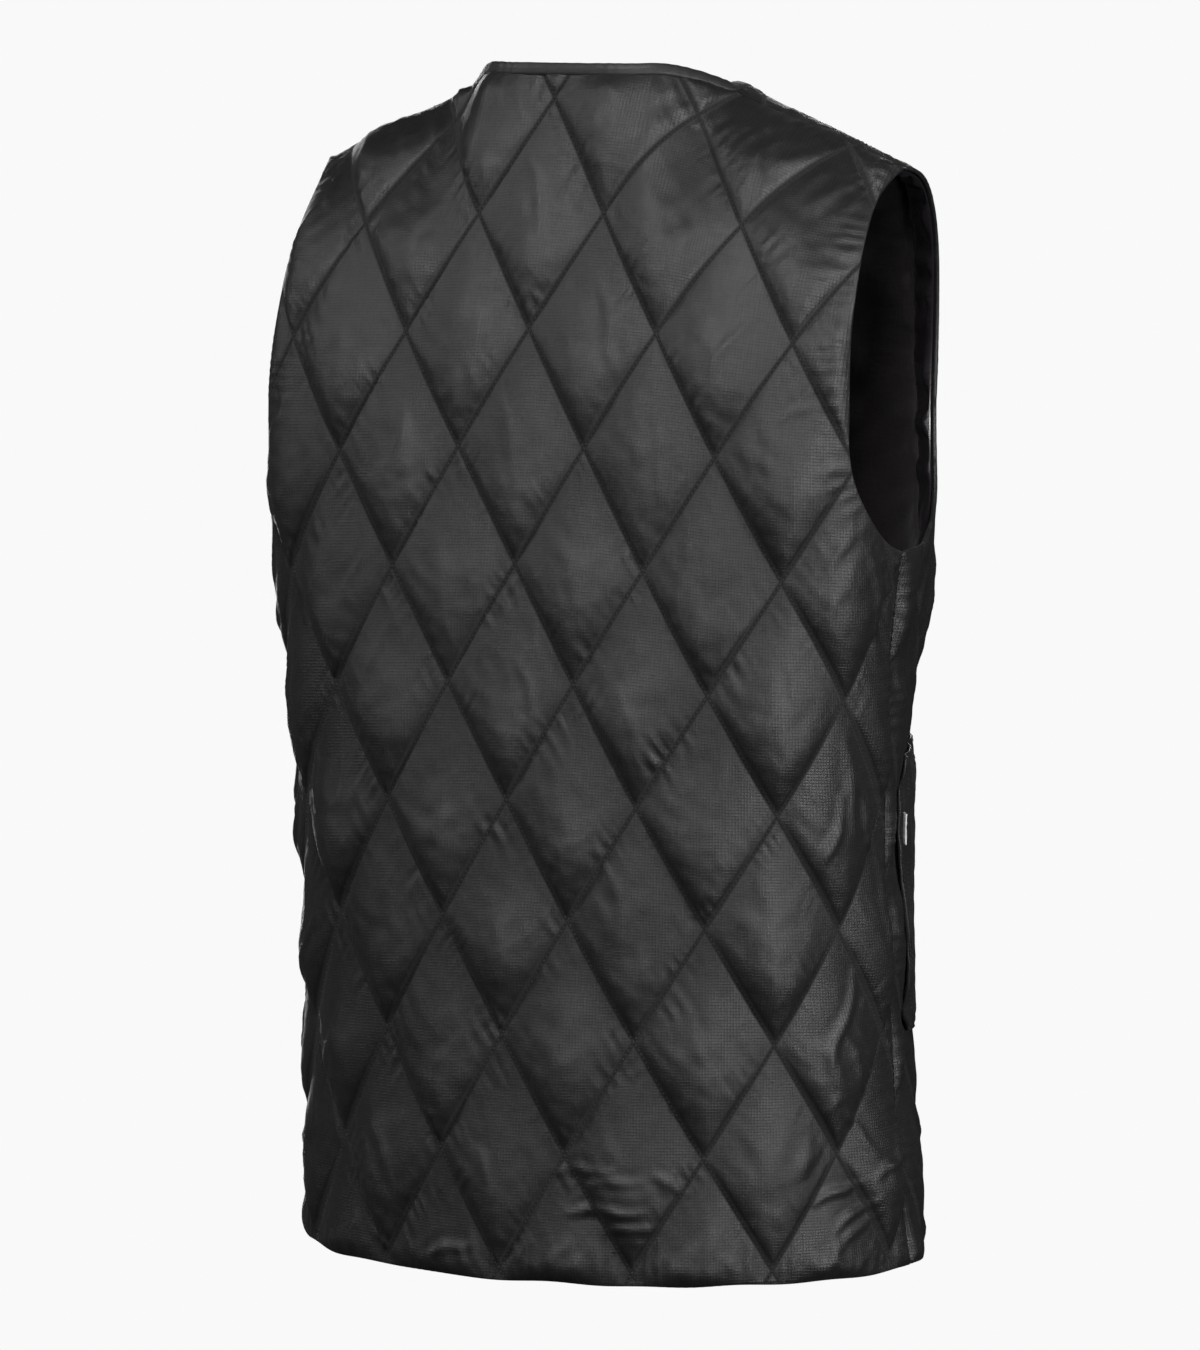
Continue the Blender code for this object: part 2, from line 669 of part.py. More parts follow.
def pocket(name, side, panel_outer, mat):
    """a patch pocket lying on a front, open at its edge towards the side seam"""
    corner = 0.020
    pts = [(POCKET_IN_U + corner, POCKET_TOP_V), (POCKET_OUT_U, POCKET_TOP_V + 0.004)]
    pts += [(POCKET_OUT_U, POCKET_LOW_V - corner), (POCKET_OUT_U - 0.006, POCKET_LOW_V - 0.006)]
    pts += [(POCKET_OUT_U - corner, POCKET_LOW_V), (POCKET_IN_U + corner, POCKET_LOW_V)]
    pts += [(POCKET_IN_U + 0.006, POCKET_LOW_V - 0.006), (POCKET_IN_U, POCKET_LOW_V - corner)]
    pts += [(POCKET_IN_U, POCKET_TOP_V + corner), (POCKET_IN_U + 0.006, POCKET_TOP_V + 0.006)]
    outline = [(side * u, v) for u, v in pts]

    def inner(u, v):
        reach = ease((side * u - (POCKET_OUT_U - 0.060)) / 0.060)
        span = (v - POCKET_TOP_V) / (POCKET_LOW_V - POCKET_TOP_V)
        belly = np.clip(np.sin(math.pi * np.clip(span, 0.0, 1.0)), 0.0, 1.0) ** 0.7
        return panel_outer(u, v) + GAP + POCKET_OPEN * reach * belly

    bm = flat_piece(outline, OUTSIDE, OUTSIDE)
    wrap(bm, FRONT, lambda u, v: inner(u, v) + POCKET_THICK, inner, OUTSIDE, OUTSIDE)
    finish(name, bm, mat, 50.0)


def label(name, panel_outer, mat):
    """a small bare woven tab by the right pocket"""
    u0 = -LABEL_U
    u1 = -(LABEL_U + LABEL_WIDE)
    outline = [(u1, LABEL_V), (u0, LABEL_V), (u0, LABEL_V + LABEL_TALL), (u1, LABEL_V + LABEL_TALL)]

    def inner(u, v):
        return panel_outer(u, v) + GAP

    bm = flat_piece(outline, OUTSIDE, OUTSIDE)
    wrap(bm, FRONT, lambda u, v: inner(u, v) + LABEL_THICK, inner, OUTSIDE, OUTSIDE)
    finish(name, bm, mat, 40.0)


for old in list(bpy.data.objects):
    bpy.data.objects.remove(old, do_unlink=True)
PARTS = bpy.data.collections.new("quilted_vest")
bpy.context.scene.collection.children.link(PARTS)

shell = material("shell_nylon", (0.040, 0.040, 0.042), 0.45, 0.2)
bind_mat = material("binding_nylon", (0.045, 0.045, 0.048), 0.45, 0.2)
facing_mat = material("facing_satin", (0.020, 0.018, 0.020), 0.30, 0.1)
lining_mat = material("lining_cloth", (0.014, 0.012, 0.013), 0.75, 0.2)
pocket_mat = material("pocket_nylon", (0.038, 0.038, 0.040), 0.45, 0.2)
snap_mat = material("snap_metal", (0.030, 0.030, 0.032), 0.35)
label_mat = material("label_weave", (0.80, 0.80, 0.78), 0.70)

quilted("back", BACK, back_outline(), shell)
left_outer = quilted("front_left", FRONT, front_outline(1.0), shell, 1.0)
right_outer = quilted("front_right", FRONT, front_outline(-1.0), shell, -1.0)

LINE_IN = FACING + GAP
backing("lining_back", BACK, back_outline(LINE_IN, HEM_V - LINING_UP, 0.004), lining_mat)
for tag, way in (("left", 1.0), ("right", -1.0)):
    cut = front_outline(way, LINE_IN, HEM_V - LINING_UP, 0.004, -0.036)
    backing("lining_front_" + tag, FRONT, cut, lining_mat)
    backing("facing_front_" + tag, FRONT, armhole_band(True, way), facing_mat)
    backing("facing_back_" + tag, BACK, armhole_band(False, way), facing_mat)

binding("neck_binding", bind_mat)
pocket("pocket_left", 1.0, left_outer, pocket_mat)
pocket("pocket_right", -1.0, right_outer, pocket_mat)
label("label_tab", right_outer, label_mat)
for number, snap_v in enumerate(SNAP_V, 1):
    snap("snap_%d" % number, snap_v, LAP_LIFT + WALL + 2.0 * GAP, snap_mat)
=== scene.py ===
"""Dressed model of a quilted vest, standing filled out as it is worn.

Metres, +Z up. The front of the vest faces -Y and its left side, as worn, is +X. Every cloth
piece is laid out flat first and then placed on the worn form. Flat places are (u, v): u is
the distance round the body from the middle of the back or of the front, and v runs down the
cloth from the level of the shoulder line.
"""
import math

import bmesh
import bpy
import numpy as np
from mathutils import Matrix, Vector
from mathutils.geometry import delaunay_2d_cdt
from mathutils.kdtree import KDTree


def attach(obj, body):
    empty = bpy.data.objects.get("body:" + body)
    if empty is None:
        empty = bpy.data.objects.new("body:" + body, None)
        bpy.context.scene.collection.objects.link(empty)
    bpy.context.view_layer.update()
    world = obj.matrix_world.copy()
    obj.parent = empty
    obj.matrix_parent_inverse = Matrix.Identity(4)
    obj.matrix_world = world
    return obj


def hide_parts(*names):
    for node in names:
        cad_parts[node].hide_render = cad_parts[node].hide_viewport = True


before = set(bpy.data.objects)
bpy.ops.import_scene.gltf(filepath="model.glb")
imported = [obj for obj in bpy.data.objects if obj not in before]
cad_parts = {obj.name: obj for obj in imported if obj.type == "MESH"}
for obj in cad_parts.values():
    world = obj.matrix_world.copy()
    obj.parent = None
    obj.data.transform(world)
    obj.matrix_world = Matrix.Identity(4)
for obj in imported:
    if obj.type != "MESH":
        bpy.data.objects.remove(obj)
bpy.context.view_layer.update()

bl_info = {
    "name": "Quilted vest",
    "version": (1, 0, 0),
    "blender": (4, 5, 0),
    "location": "View3D > Sidebar > Vest",
    "description": "Builds a diamond-quilted vest over its packed solids",
    "category": "Object",
}

# cloth
WALL = 0.0020            # shell, padding and backing pressed together at a stitch line
SEAM = 0.00015           # each side of a seam stays this far from its line
GAP = 0.0003             # clearance between pieces that lie on each other
LINING_GAP = 0.0009      # between the panels and the cloth under them
LINING = 0.0011
QUILT_TILT = 0.012       # the rows climb a little towards the right side
QUILT_U = 0.0066         # where the middle column of crossings stands
QUILT_V = 0.001          # where the first row of crossings lies
SHOULDER_PLAIN = 0.020   # the fronts have no quilting over this width at the shoulder
LAP = 0.012              # each front passes the middle by this much
LAP_LIFT = 0.0030        # the left front lies over the right one
PLACKET = 0.030          # the front edges are stitched flat over this width
FACING = 0.018
LAP_FADE = 0.020         # the lap's lift runs out over this width beside the placket
SNAP_V = (0.105, 0.240, 0.375, 0.510, 0.645)
SNAP_SIDES = 40
SNAP_PROFILE = (
    # share of the radius, height
    (0.0, 0.0002), (0.90, 0.0), (0.97, 0.00015), (1.0, 0.0006), (0.985, 0.0010),
    (0.94, 0.0013), (0.88, 0.00135), (0.82, 0.00125), (0.76, 0.0014),
    (0.60, 0.0019), (0.40, 0.0023), (0.20, 0.0024), (0.0, 0.00245),
)
BIND_THICK = 0.0052
BIND_LOW = 0.0022        # the band reaches this far down past the edge

# levels of the form
BASE_V = 0.210           # above this level the cloth turns in over the shoulder
BASE_Z = -0.212
UNDERARM_V = 0.2625
HEM_V = 0.7075
LINING_UP = 0.014        # the lining stops this far above the hem

SECTIONS = (
    # v,    half_w, back_d, front_d, back_y, square, side_drop
    (0.210, 0.2070, 0.088, 0.137, 0.100, 3.30, 0.011),
    (0.340, 0.1890, 0.107, 0.138, 0.114, 2.90, 0.012),
    (0.460, 0.1840, 0.123, 0.142, 0.122, 2.50, 0.010),
    (0.580, 0.1860, 0.136, 0.151, 0.127, 2.20, 0.006),
    (0.720, 0.1960, 0.144, 0.161, 0.131, 2.00, -0.002),
)
TOP_BACK = (
    # u,    x,     y,      z,     lean_deg
    (0.000, 0.000, 0.0470, 0.0220, 12.0),
    (0.022, 0.0218, 0.0462, 0.0219, 13.0),
    (0.050, 0.0492, 0.0370, 0.0195, 23.0),
    (0.090, 0.088, 0.002, -0.006, 50.0),
    (0.145, 0.146, -0.003, -0.029, 58.0),
    (0.210, 0.207, -0.014, -0.058, 60.0),
)
TOP_FRONT = (
    (0.000, 0.000, -0.068, -0.004, 32.0),
    (0.030, 0.030, -0.066, -0.004, 34.0),
    (0.060, 0.059, -0.045, 0.000, 56.0),
    (0.090, 0.088, 0.002, -0.006, 100.0),
)
BACK_NECK = (
    # u,    v
    (0.000, -0.0145), (0.020, -0.0148), (0.042, -0.0165), (0.062, -0.0212), (0.077, -0.0250),
)
FRONT_NECK = (
    (0.000, 0.0700), (0.026, 0.0660), (0.048, 0.0530), (0.065, 0.0300), (0.076, 0.0000),
    (0.083, -0.0300), (0.087, -0.0550),
)
BACK_ARMHOLE = (
    (0.1900, 0.020), (0.1870, 0.042), (0.1882, 0.075), (0.1900, 0.105), (0.1912, 0.130),
    (0.1932, 0.155), (0.1950, 0.178), (0.1962, 0.200), (0.2000, 0.218), (0.2075, 0.2330),
    (0.2190, 0.2470), (0.2340, 0.2570),
)
FRONT_ARMHOLE = (
    (0.1945, 0.025), (0.1930, 0.045), (0.1908, 0.065), (0.1880, 0.088), (0.1852, 0.115),
    (0.1838, 0.142), (0.1840, 0.168), (0.1862, 0.190), (0.1915, 0.211), (0.2010, 0.2300),
    (0.2180, 0.2480), (0.2430, 0.2590),
)
NECK_POINT_U = 0.0885
SHOULDER_TIP_U = 0.1925
SHOULDER_FOLD = 150.0    # the leans of back and front at the shoulder seam add up to this
LEAN = 4                 # column of the lean in TOP_BACK and TOP_FRONT

POCKET_IN_U = 0.075
POCKET_OUT_U = 0.236
POCKET_TOP_V = 0.388
POCKET_LOW_V = 0.565
POCKET_OPEN = 0.0014     # the hand opening stands off the front by this much
POCKET_THICK = 0.0024
POCKET_CORNER = 0.020
LABEL_U = 0.241
LABEL_V = 0.424
LABEL_WIDE = 0.009
LABEL_TALL = 0.019
LABEL_THICK = 0.0010
PATCH_SEAMS = (0.0022, 0.0085)   # the two seams of a pocket lie this far from its edge

# each kind of edge: height of the cloth there, and how far the padding thins out
EDGES = {
    "neck": (0.0018, 0.014),
    "shoulder": (0.0011, 0.013),
    "armhole": (0.0025, 0.014),
    "side": (0.0010, 0.013),
    "hem": (0.0028, 0.012),
    "placket": (0.0024, 0.010),
}

# single folds in the shell
BACK_CREASES = (
    # from u, v,       to u, v,        width,  height
    (-0.089, 0.016, -0.100, -0.001, 0.0042, 0.0010),
    (-0.095, 0.024, -0.107, -0.003, 0.0036, 0.0009),
    (-0.104, 0.026, -0.115, -0.002, 0.0040, 0.0010),
    (-0.117, 0.028, -0.128, 0.004, 0.0036, 0.0007),
    (-0.128, 0.036, -0.139, 0.017, 0.0040, 0.0008),
    (-0.148, 0.046, -0.154, 0.020, 0.0042, 0.0009),
    (-0.160, 0.056, -0.164, 0.030, 0.0040, 0.0010),
    (-0.171, 0.064, -0.176, 0.040, 0.0036, 0.0008),
    (0.094, 0.022, 0.106, -0.001, 0.0040, 0.0009),
    (0.112, 0.030, 0.121, 0.004, 0.0042, 0.0008),
    (0.139, 0.042, 0.148, 0.016, 0.0040, 0.0009),
    (0.163, 0.060, 0.169, 0.034, 0.0040, 0.0009),
    (-0.073, 0.000, -0.079, -0.014, 0.0034, 0.0008),
    (0.004, 0.004, -0.005, -0.009, 0.0032, 0.0008),
    (0.017, 0.010, 0.011, -0.005, 0.0032, 0.0008),
    (0.041, 0.006, 0.047, -0.010, 0.0034, 0.0007),
    (-0.181, 0.214, -0.196, 0.207, 0.0034, 0.0009),
    (-0.156, 0.186, -0.176, 0.172, 0.0036, 0.0008),
    (-0.214, 0.264, -0.229, 0.318, 0.0046, 0.0018),
    (-0.226, 0.262, -0.248, 0.312, 0.0044, 0.0018),
    (-0.240, 0.286, -0.262, 0.350, 0.0050, 0.0017),
    (-0.200, 0.243, -0.188, 0.268, 0.0040, 0.0011),
    (0.206, 0.262, 0.222, 0.322, 0.0046, 0.0017),
    (0.226, 0.268, 0.240, 0.330, 0.0048, 0.0016),
    (0.196, 0.236, 0.184, 0.266, 0.0042, 0.0012),
    (0.184, 0.118, 0.168, 0.151, 0.0050, 0.0006),
    (0.176, 0.182, 0.188, 0.204, 0.0038, 0.0010),
    (0.168, 0.278, 0.157, 0.314, 0.0046, 0.0012),
    (0.156, 0.388, 0.149, 0.425, 0.0044, 0.0011),
    (0.158, 0.601, 0.136, 0.637, 0.0046, 0.0012),
    (-0.031, 0.641, -0.064, 0.637, 0.0036, 0.0011),
    (-0.050, 0.648, -0.082, 0.642, 0.0036, 0.0010),
    (-0.041, 0.665, -0.081, 0.661, 0.0038, 0.0017),
    (-0.062, 0.675, -0.090, 0.671, 0.0034, 0.0013),
    (-0.089, 0.640, -0.108, 0.650, 0.0036, 0.0010),
    (-0.185, 0.659, -0.214, 0.648, 0.0038, 0.0019),
    (-0.200, 0.676, -0.226, 0.660, 0.0038, 0.0018),
    (-0.201, 0.688, -0.227, 0.669, 0.0042, 0.0015),
    (-0.226, 0.646, -0.248, 0.636, 0.0040, 0.0018),
    (-0.206, 0.606, -0.228, 0.630, 0.0042, 0.0016),
    (-0.205, 0.556, -0.222, 0.590, 0.0044, 0.0015),
    (-0.214, 0.400, -0.228, 0.440, 0.0046, 0.0016),
    (0.101, 0.690, 0.082, 0.701, 0.0038, 0.0012),
    (0.050, 0.696, 0.026, 0.688, 0.0038, 0.0011),
    (0.190, 0.640, 0.214, 0.652, 0.0042, 0.0013),
    (0.186, 0.668, 0.216, 0.664, 0.0040, 0.0012),
)
FRONT_CREASES = (
    # u grows away from the middle of the front
    (0.098, 0.020, 0.108, -0.003, 0.0042, 0.0009),
    (0.118, 0.030, 0.127, 0.004, 0.0040, 0.0009),
    (0.146, 0.046, 0.152, 0.018, 0.0042, 0.0010),
    (0.164, 0.066, 0.170, 0.038, 0.0040, 0.0009),
    (0.156, 0.112, 0.172, 0.146, 0.0042, 0.0011),
    (0.160, 0.150, 0.178, 0.172, 0.0040, 0.0010),
    (0.170, 0.206, 0.184, 0.192, 0.0038, 0.0010),
    (0.200, 0.262, 0.212, 0.318, 0.0048, 0.0017),
    (0.220, 0.268, 0.234, 0.330, 0.0046, 0.0016),
    (0.188, 0.242, 0.176, 0.270, 0.0042, 0.0012),
    (0.150, 0.300, 0.128, 0.330, 0.0042, 0.0010),
    (0.120, 0.618, 0.150, 0.632, 0.0042, 0.0012),
    (0.180, 0.640, 0.214, 0.652, 0.0042, 0.0014),
    (0.172, 0.668, 0.206, 0.662, 0.0040, 0.0013),
    (0.060, 0.652, 0.086, 0.640, 0.0038, 0.0010),
    (0.214, 0.600, 0.232, 0.630, 0.0044, 0.0012),
)

EDGE_STEP = 0.0025       # spacing of points on the cut lines
DENSE = 0.001            # spacing of points that distances are measured from
BIND_STEP = 0.0012
THREAD_LIFT = 0.0001     # stitches lie this far over the shell
GRID = 0.0030            # spacing of the form's own net
U_END = 0.33
V_TOP = -0.09
V_END = 0.76

# the studio
FLOOR_Z = -1.42
FLOOR_REACH = 16.0
SPILL = 0.010            # share of the backdrop's light that reaches the vest
LAMP_AIM = (0.0, 0.0, -0.33)
LAMPS = (
    # name,   place,              size,  watts
    ("key", (-0.95, 3.60, 2.30), 2.1, 134.0),
    ("left", (2.8, 1.9, 1.5), 1.3, 38.0),
    ("right", (-3.0, 0.9, 0.3), 0.7, 66.0),
    ("front", (1.7, -2.9, -0.2), 1.8, 56.0),
)
CAMERA_PLACE = (-2.042, 4.251, 0.129)
CAMERA_AIM = (0.0029, 0.0014, -0.3588)
CAMERA_LENS = 208.5


def length(name, about, value):
    return bpy.props.FloatProperty(name=name, description=about, default=value, unit="LENGTH")


def paint(name, about, value):
    return bpy.props.FloatVectorProperty(
        name=name, description=about, default=value, size=3, subtype="COLOR")


class VestSizes(bpy.types.PropertyGroup):
    """Sizes that a maker may change"""
    quilt_wide: length("Diamond width", "Width of one quilting diamond", 0.083)
    quilt_tall: length("Diamond height", "Height of one quilting diamond", 0.140)
    puff: length("Puff", "How far the padding lifts the shell between the lines", 0.0086)
    pucker: length("Pucker", "Depth of the small gathers along the stitch lines", 0.00055)
    blown: bpy.props.FloatProperty(
        name="Blown share", description="Share of the padding's shape taken from blown cloth",
        default=0.28, subtype="FACTOR")
    cells: bpy.props.IntProperty(
        name="Cells", description="Small cells along one side of a diamond", default=36)
    stitch_pitch: length("Stitch pitch", "Distance from stitch to stitch", 0.0030)
    stitch_thick: length("Thread", "Thickness of the sewing thread", 0.00080)
    snap_radius: length("Snap radius", "Radius of a press fastener's cap", 0.0062)
    bind_tall: length("Binding height", "Height of the band round the neck", 0.0078)


class VestColours(bpy.types.PropertyGroup):
    """Colours that a maker may change"""
    shell: paint("Shell", "Ripstop nylon of the quilted panels", (0.0098, 0.0098, 0.0104))
    lining: paint("Lining", "Matte cloth inside", (0.046, 0.039, 0.042))
    facing: paint("Facing", "Satin strips inside the armholes", (0.012, 0.010, 0.0125))
    thread: paint("Thread", "Sewing thread", (0.024, 0.024, 0.025))
    tab: paint("Tab", "Woven tab at the pocket", (0.80, 0.80, 0.79))
    backdrop: paint("Backdrop", "Floor and air of the studio", (0.947, 0.947, 0.947))


# ---- the worn form

def smooth(x, xs, ys, leaving=None):
    """a curve through the rows of a table that never overshoots them"""
    xs = np.asarray(xs, float)
    ys = np.asarray(ys, float)
    h = np.diff(xs)
    d = np.diff(ys) / h
    m = np.empty_like(ys)
    m[0] = d[0]
    m[-1] = d[-1] if leaving is None else leaving
    for k in range(1, len(xs) - 1):
        m[k] = 0.0
        if d[k - 1] * d[k] > 0.0:
            w1 = 2.0 * h[k] + h[k - 1]
            w2 = h[k] + 2.0 * h[k - 1]
            m[k] = (w1 + w2) / (w1 / d[k - 1] + w2 / d[k])
    x = np.clip(np.asarray(x, float), xs[0], xs[-1])
    k = np.clip(np.searchsorted(xs, x) - 1, 0, len(xs) - 2)
    t = (x - xs[k]) / h[k]
    near = (2 * t**3 - 3 * t**2 + 1) * ys[k] + (t**3 - 2 * t**2 + t) * h[k] * m[k]
    far = (3 * t**2 - 2 * t**3) * ys[k + 1] + (t**3 - t**2) * h[k] * m[k + 1]
    return near + far


def ease(t):
    """from nought to one, level at both ends"""
    t = np.clip(t, 0.0, 1.0)
    return t * t * (3.0 - 2.0 * t)


SEC = np.array(SECTIONS)


def section(v):
    """half of one ring, from the middle of the back round to the middle of the front"""
    row = [float(smooth(v, SEC[:, 0], SEC[:, c])) for c in range(1, 7)]
    half_w, back_d, front_d, back_y, square, drop = row
    turn = np.linspace(0.0, math.pi, 361)
    s = np.sin(turn)
    c = np.cos(turn)
    depth = np.where(c >= 0.0, back_d, front_d)
    x = half_w * np.abs(s) ** (2.0 / square)
    y = back_y - back_d + depth * np.sign(c) * np.abs(c) ** (2.0 / square)
    run = np.concatenate([[0.0], np.cumsum(np.hypot(np.diff(x), np.diff(y)))])
    return x, y, run, run[180], drop


def level_z(v):
    """the height of the middle of the back, found by walking down the cloth"""
    vs = np.linspace(BASE_V, V_END + 0.05, 120)
    y = smooth(vs, SEC[:, 0], SEC[:, 4])
    fall = np.sqrt(np.maximum(np.diff(vs) ** 2 - np.diff(y) ** 2, 1e-12))
    return float(np.interp(v, vs, BASE_Z - np.concatenate([[0.0], np.cumsum(fall)])))


def top_line(u, front):
    """where the columns of cloth end and how they lean; the shoulder seam is shared"""
    back = np.array(TOP_BACK)
    own = np.array(TOP_FRONT)
    seam = own[-1, 0]
    beyond = 0.0001
    out = []
    for c in range(1, LEAN + 1):
        ys = SHOULDER_FOLD - back[:, c] if front and c == LEAN else back[:, c]
        line = smooth(u, back[:, 0], ys)
        if front:
            pair = smooth([seam, seam + beyond], back[:, 0], ys)
            mine = smooth(u, own[:, 0], own[:, c], (pair[1] - pair[0]) / beyond)
            line = np.where(u < seam, mine, line)
        out.append(line)
    return out


def ring_points(u, v, front):
    """worn places at one level, u from the middle of the back or of the front"""
    x, y, run, side, drop = section(v)
    s = run[-1] - u if front else u
    share = np.where(s < side, s / side, (run[-1] - s) / (run[-1] - side))
    lag = drop * np.sin(0.5 * math.pi * np.clip(share, 0.0, 1.0)) ** 2
    return np.stack([np.interp(s, run, x), np.interp(s, run, y), level_z(v) - lag], -1)


class Form:
    """the worn surface that a flat half pattern is laid on; the other half mirrors it"""

    def __init__(self, front):
        self.us = np.arange(0.0, U_END + 1e-9, GRID)
        self.vs = np.arange(V_TOP, V_END + 1e-9, GRID)
        self.lower(front)
        self.upper(front)
        mirror = self.grid[:, 1:3][:, ::-1] * np.array([-1.0, 1.0, 1.0])
        wide = np.concatenate([mirror, self.grid], axis=1)
        nor = np.cross(np.gradient(self.grid, axis=0), np.gradient(wide, axis=1)[:, 2:])
        nor /= np.maximum(np.linalg.norm(nor, axis=2), 1e-12)[:, :, None]
        middle = nor[len(self.vs) // 2, 1, 1]
        self.nor = -nor if (middle > 0.0) == front else nor

    def lower(self, front):
        """rings from under the arm to the hem"""
        self.grid = np.zeros((len(self.vs), len(self.us), 3))
        for k, v in enumerate(self.vs):
            if v >= BASE_V - 1e-9:
                self.grid[k] = ring_points(self.us, v, front)

    def upper(self, front):
        """columns that turn in over the shoulder, each a curve from ring to top line"""
        us = self.us
        start = ring_points(us, BASE_V, front)
        rise = start - ring_points(us, BASE_V + 0.004, front)
        rise /= np.linalg.norm(rise, axis=1)[:, None]
        cu = np.clip(us, 0.0, TOP_BACK[-1][0])
        x, y, z, lean = top_line(cu, front)
        end = np.stack([x, y, z], -1)
        # columns past the last row of the table keep their distance from it
        end[:, 0] += (us - cu) * 0.6
        end[:, 2] -= (us - cu) * 0.5
        lean = np.radians(lean)
        way = 1.0 if front else -1.0
        arrive = np.stack([0.0 * lean, way * np.sin(lean), np.cos(lean)], -1)
        reach = np.linalg.norm(end - start, axis=1)[:, None] * 0.36
        p1 = start + rise * reach
        p2 = end - arrive * reach
        w = np.linspace(0.0, 1.0, 41)[:, None, None]
        col = ((1 - w)**3 * start + 3 * (1 - w)**2 * w * p1
               + 3 * (1 - w) * w**2 * p2 + w**3 * end)
        seg = np.linalg.norm(np.diff(col, axis=0), axis=2)
        run = np.concatenate([np.zeros((1, len(us))), np.cumsum(seg, axis=0)])
        self.top_v = BASE_V - run[-1]
        high = BASE_V - self.vs > 1e-9
        d = (BASE_V - self.vs)[high]
        for c in range(len(us)):
            past = np.maximum(0.0, d - run[-1, c])
            for a in range(3):
                at = np.interp(d, run[:, c], col[:, c, a])
                self.grid[high, c, a] = at + arrive[c, a] * past

    def place(self, u, v, w):
        """from flat places and heights off the cloth to the worn form"""
        u = np.asarray(u, float)
        v = np.asarray(v, float)
        au = np.abs(u) / GRID
        av = (v - V_TOP) / GRID
        i = np.clip(au.astype(int), 0, len(self.us) - 2)
        j = np.clip(av.astype(int), 0, len(self.vs) - 2)
        fu = (au - i)[..., None]
        fv = (av - j)[..., None]

        def pick(g):
            near = (1 - fu) * g[j, i] + fu * g[j, i + 1]
            far = (1 - fu) * g[j + 1, i] + fu * g[j + 1, i + 1]
            return (1 - fv) * near + fv * far

        one = np.ones_like(u)
        flip = np.stack([np.where(u < 0.0, -one, one), one, one], -1)
        nor = pick(self.nor)
        nor = nor / np.linalg.norm(nor, axis=-1)[..., None]
        return (pick(self.grid) + np.asarray(w)[..., None] * nor) * flip

    def top(self, u):
        """v where the column at u ends"""
        return float(np.interp(abs(u), self.us, self.top_v))


BACK = Form(False)
FRONT = Form(True)


def side_u(v, front):
    """flat distance from the middle to the side seam"""
    run, side = section(max(v, BASE_V))[2:4]
    return float(run[-1] - side) if front else float(side)


# ---- flat patterns

def through(points, step):
    """a rounded line through the points, in even steps"""
    pts = np.array(points, float)
    ends = np.concatenate([[2 * pts[0] - pts[1]], pts, [2 * pts[-1] - pts[-2]]])
    fine = []
    for k in range(1, len(ends) - 2):
        p0, p1, p2, p3 = ends[k - 1:k + 3]
        t = np.linspace(0.0, 1.0, 9)[:-1, None]
        fine.append(0.5 * (2 * p1 + (p2 - p0) * t + (2 * p0 - 5 * p1 + 4 * p2 - p3) * t**2
                           + (3 * p1 - p0 - 3 * p2 + p3) * t**3))
    return even(np.concatenate(fine + [pts[-1:]]), step)


def even(points, step):
    """the line through the points in even steps"""
    pts = np.array(points, float)
    run = np.concatenate([[0.0], np.cumsum(np.linalg.norm(np.diff(pts, axis=0), axis=1))])
    at = np.linspace(0.0, run[-1], max(2, int(math.ceil(run[-1] / step)) + 1))
    return np.stack([np.interp(at, run, pts[:, k]) for k in range(pts.shape[1])], -1)


def armhole_line(front, inset):
    """the armhole edge moved in by an even strip, downwards under the arm"""
    return [(u - inset, v + inset * float(ease((v - 0.19) / 0.06)))
            for u, v in (FRONT_ARMHOLE if front else BACK_ARMHOLE)]


def half_edges(front, inset, hem_v, neck_in, step):
    """named edges of a half pattern, from the middle of the neck round to the hem"""
    form = FRONT if front else BACK
    neck = [(u, v + neck_in) for u, v in (FRONT_NECK if front else BACK_NECK)]
    us = np.linspace(NECK_POINT_U + neck_in, SHOULDER_TIP_U - inset, 60)
    shoulder = [(u, form.top(u) + SEAM) for u in us]
    vs = np.linspace(UNDERARM_V + inset, hem_v, 60)
    side = [(side_u(v, front) - SEAM, v) for v in vs]
    return [
        ("neck", through(neck + shoulder[:1], step)),
        ("shoulder", even(shoulder, step)),
        ("armhole", through(shoulder[-1:] + armhole_line(front, inset) + side[:1], step)),
        ("side", even(side, step)),
    ]


def hem_sway(u, end, seed):
    """the lower edge isn't quite straight"""
    fade = ease((end - np.abs(u)) / 0.02)
    return 0.0004 * waves(u, 0.0 * u, seed, 0.03, 0.09, 8) * fade


def back_edges(inset=0.0, hem_v=HEM_V, neck_in=0.0, step=EDGE_STEP):
    """named edges of the back, from the left side round to the hem"""
    right = half_edges(False, inset, hem_v, neck_in, step)
    flip = np.array([-1.0, 1.0])
    left = [(tag, (line * flip)[::-1]) for tag, line in reversed(right)]
    side = right[-1][1][-1]
    hem = even([side, side * flip], step)
    hem[1:-1, 1] += hem_sway(hem[1:-1, 0], side[0], 5)
    return left + right + [("hem", hem)]


def front_edges(way, inset=0.0, hem_v=HEM_V, neck_in=0.0, lap=LAP, step=EDGE_STEP):
    """named edges of a front; a lap below nought ends it short of the middle"""
    half = half_edges(True, inset, hem_v, neck_in, step)
    neck = half[0][1]
    neck = neck[neck[:, 0] > -lap + 0.5 * step]
    level = neck[0][1] if lap > 0.0 else np.interp(-lap, neck[:, 0], neck[:, 1])
    top = (-lap, level)
    half[0] = ("neck", even(np.concatenate([[top], neck]), step))
    side = half[-1][1][-1]
    hem = even([side, (-lap, hem_v)], step)
    hem[1:-1, 1] += hem_sway(hem[1:-1, 0], side[0], 6 + int(way))
    half.append(("hem", hem))
    half.append(("placket", even([(-lap, hem_v), top], step)))
    return [(tag, line * np.array([way, 1.0])) for tag, line in half]


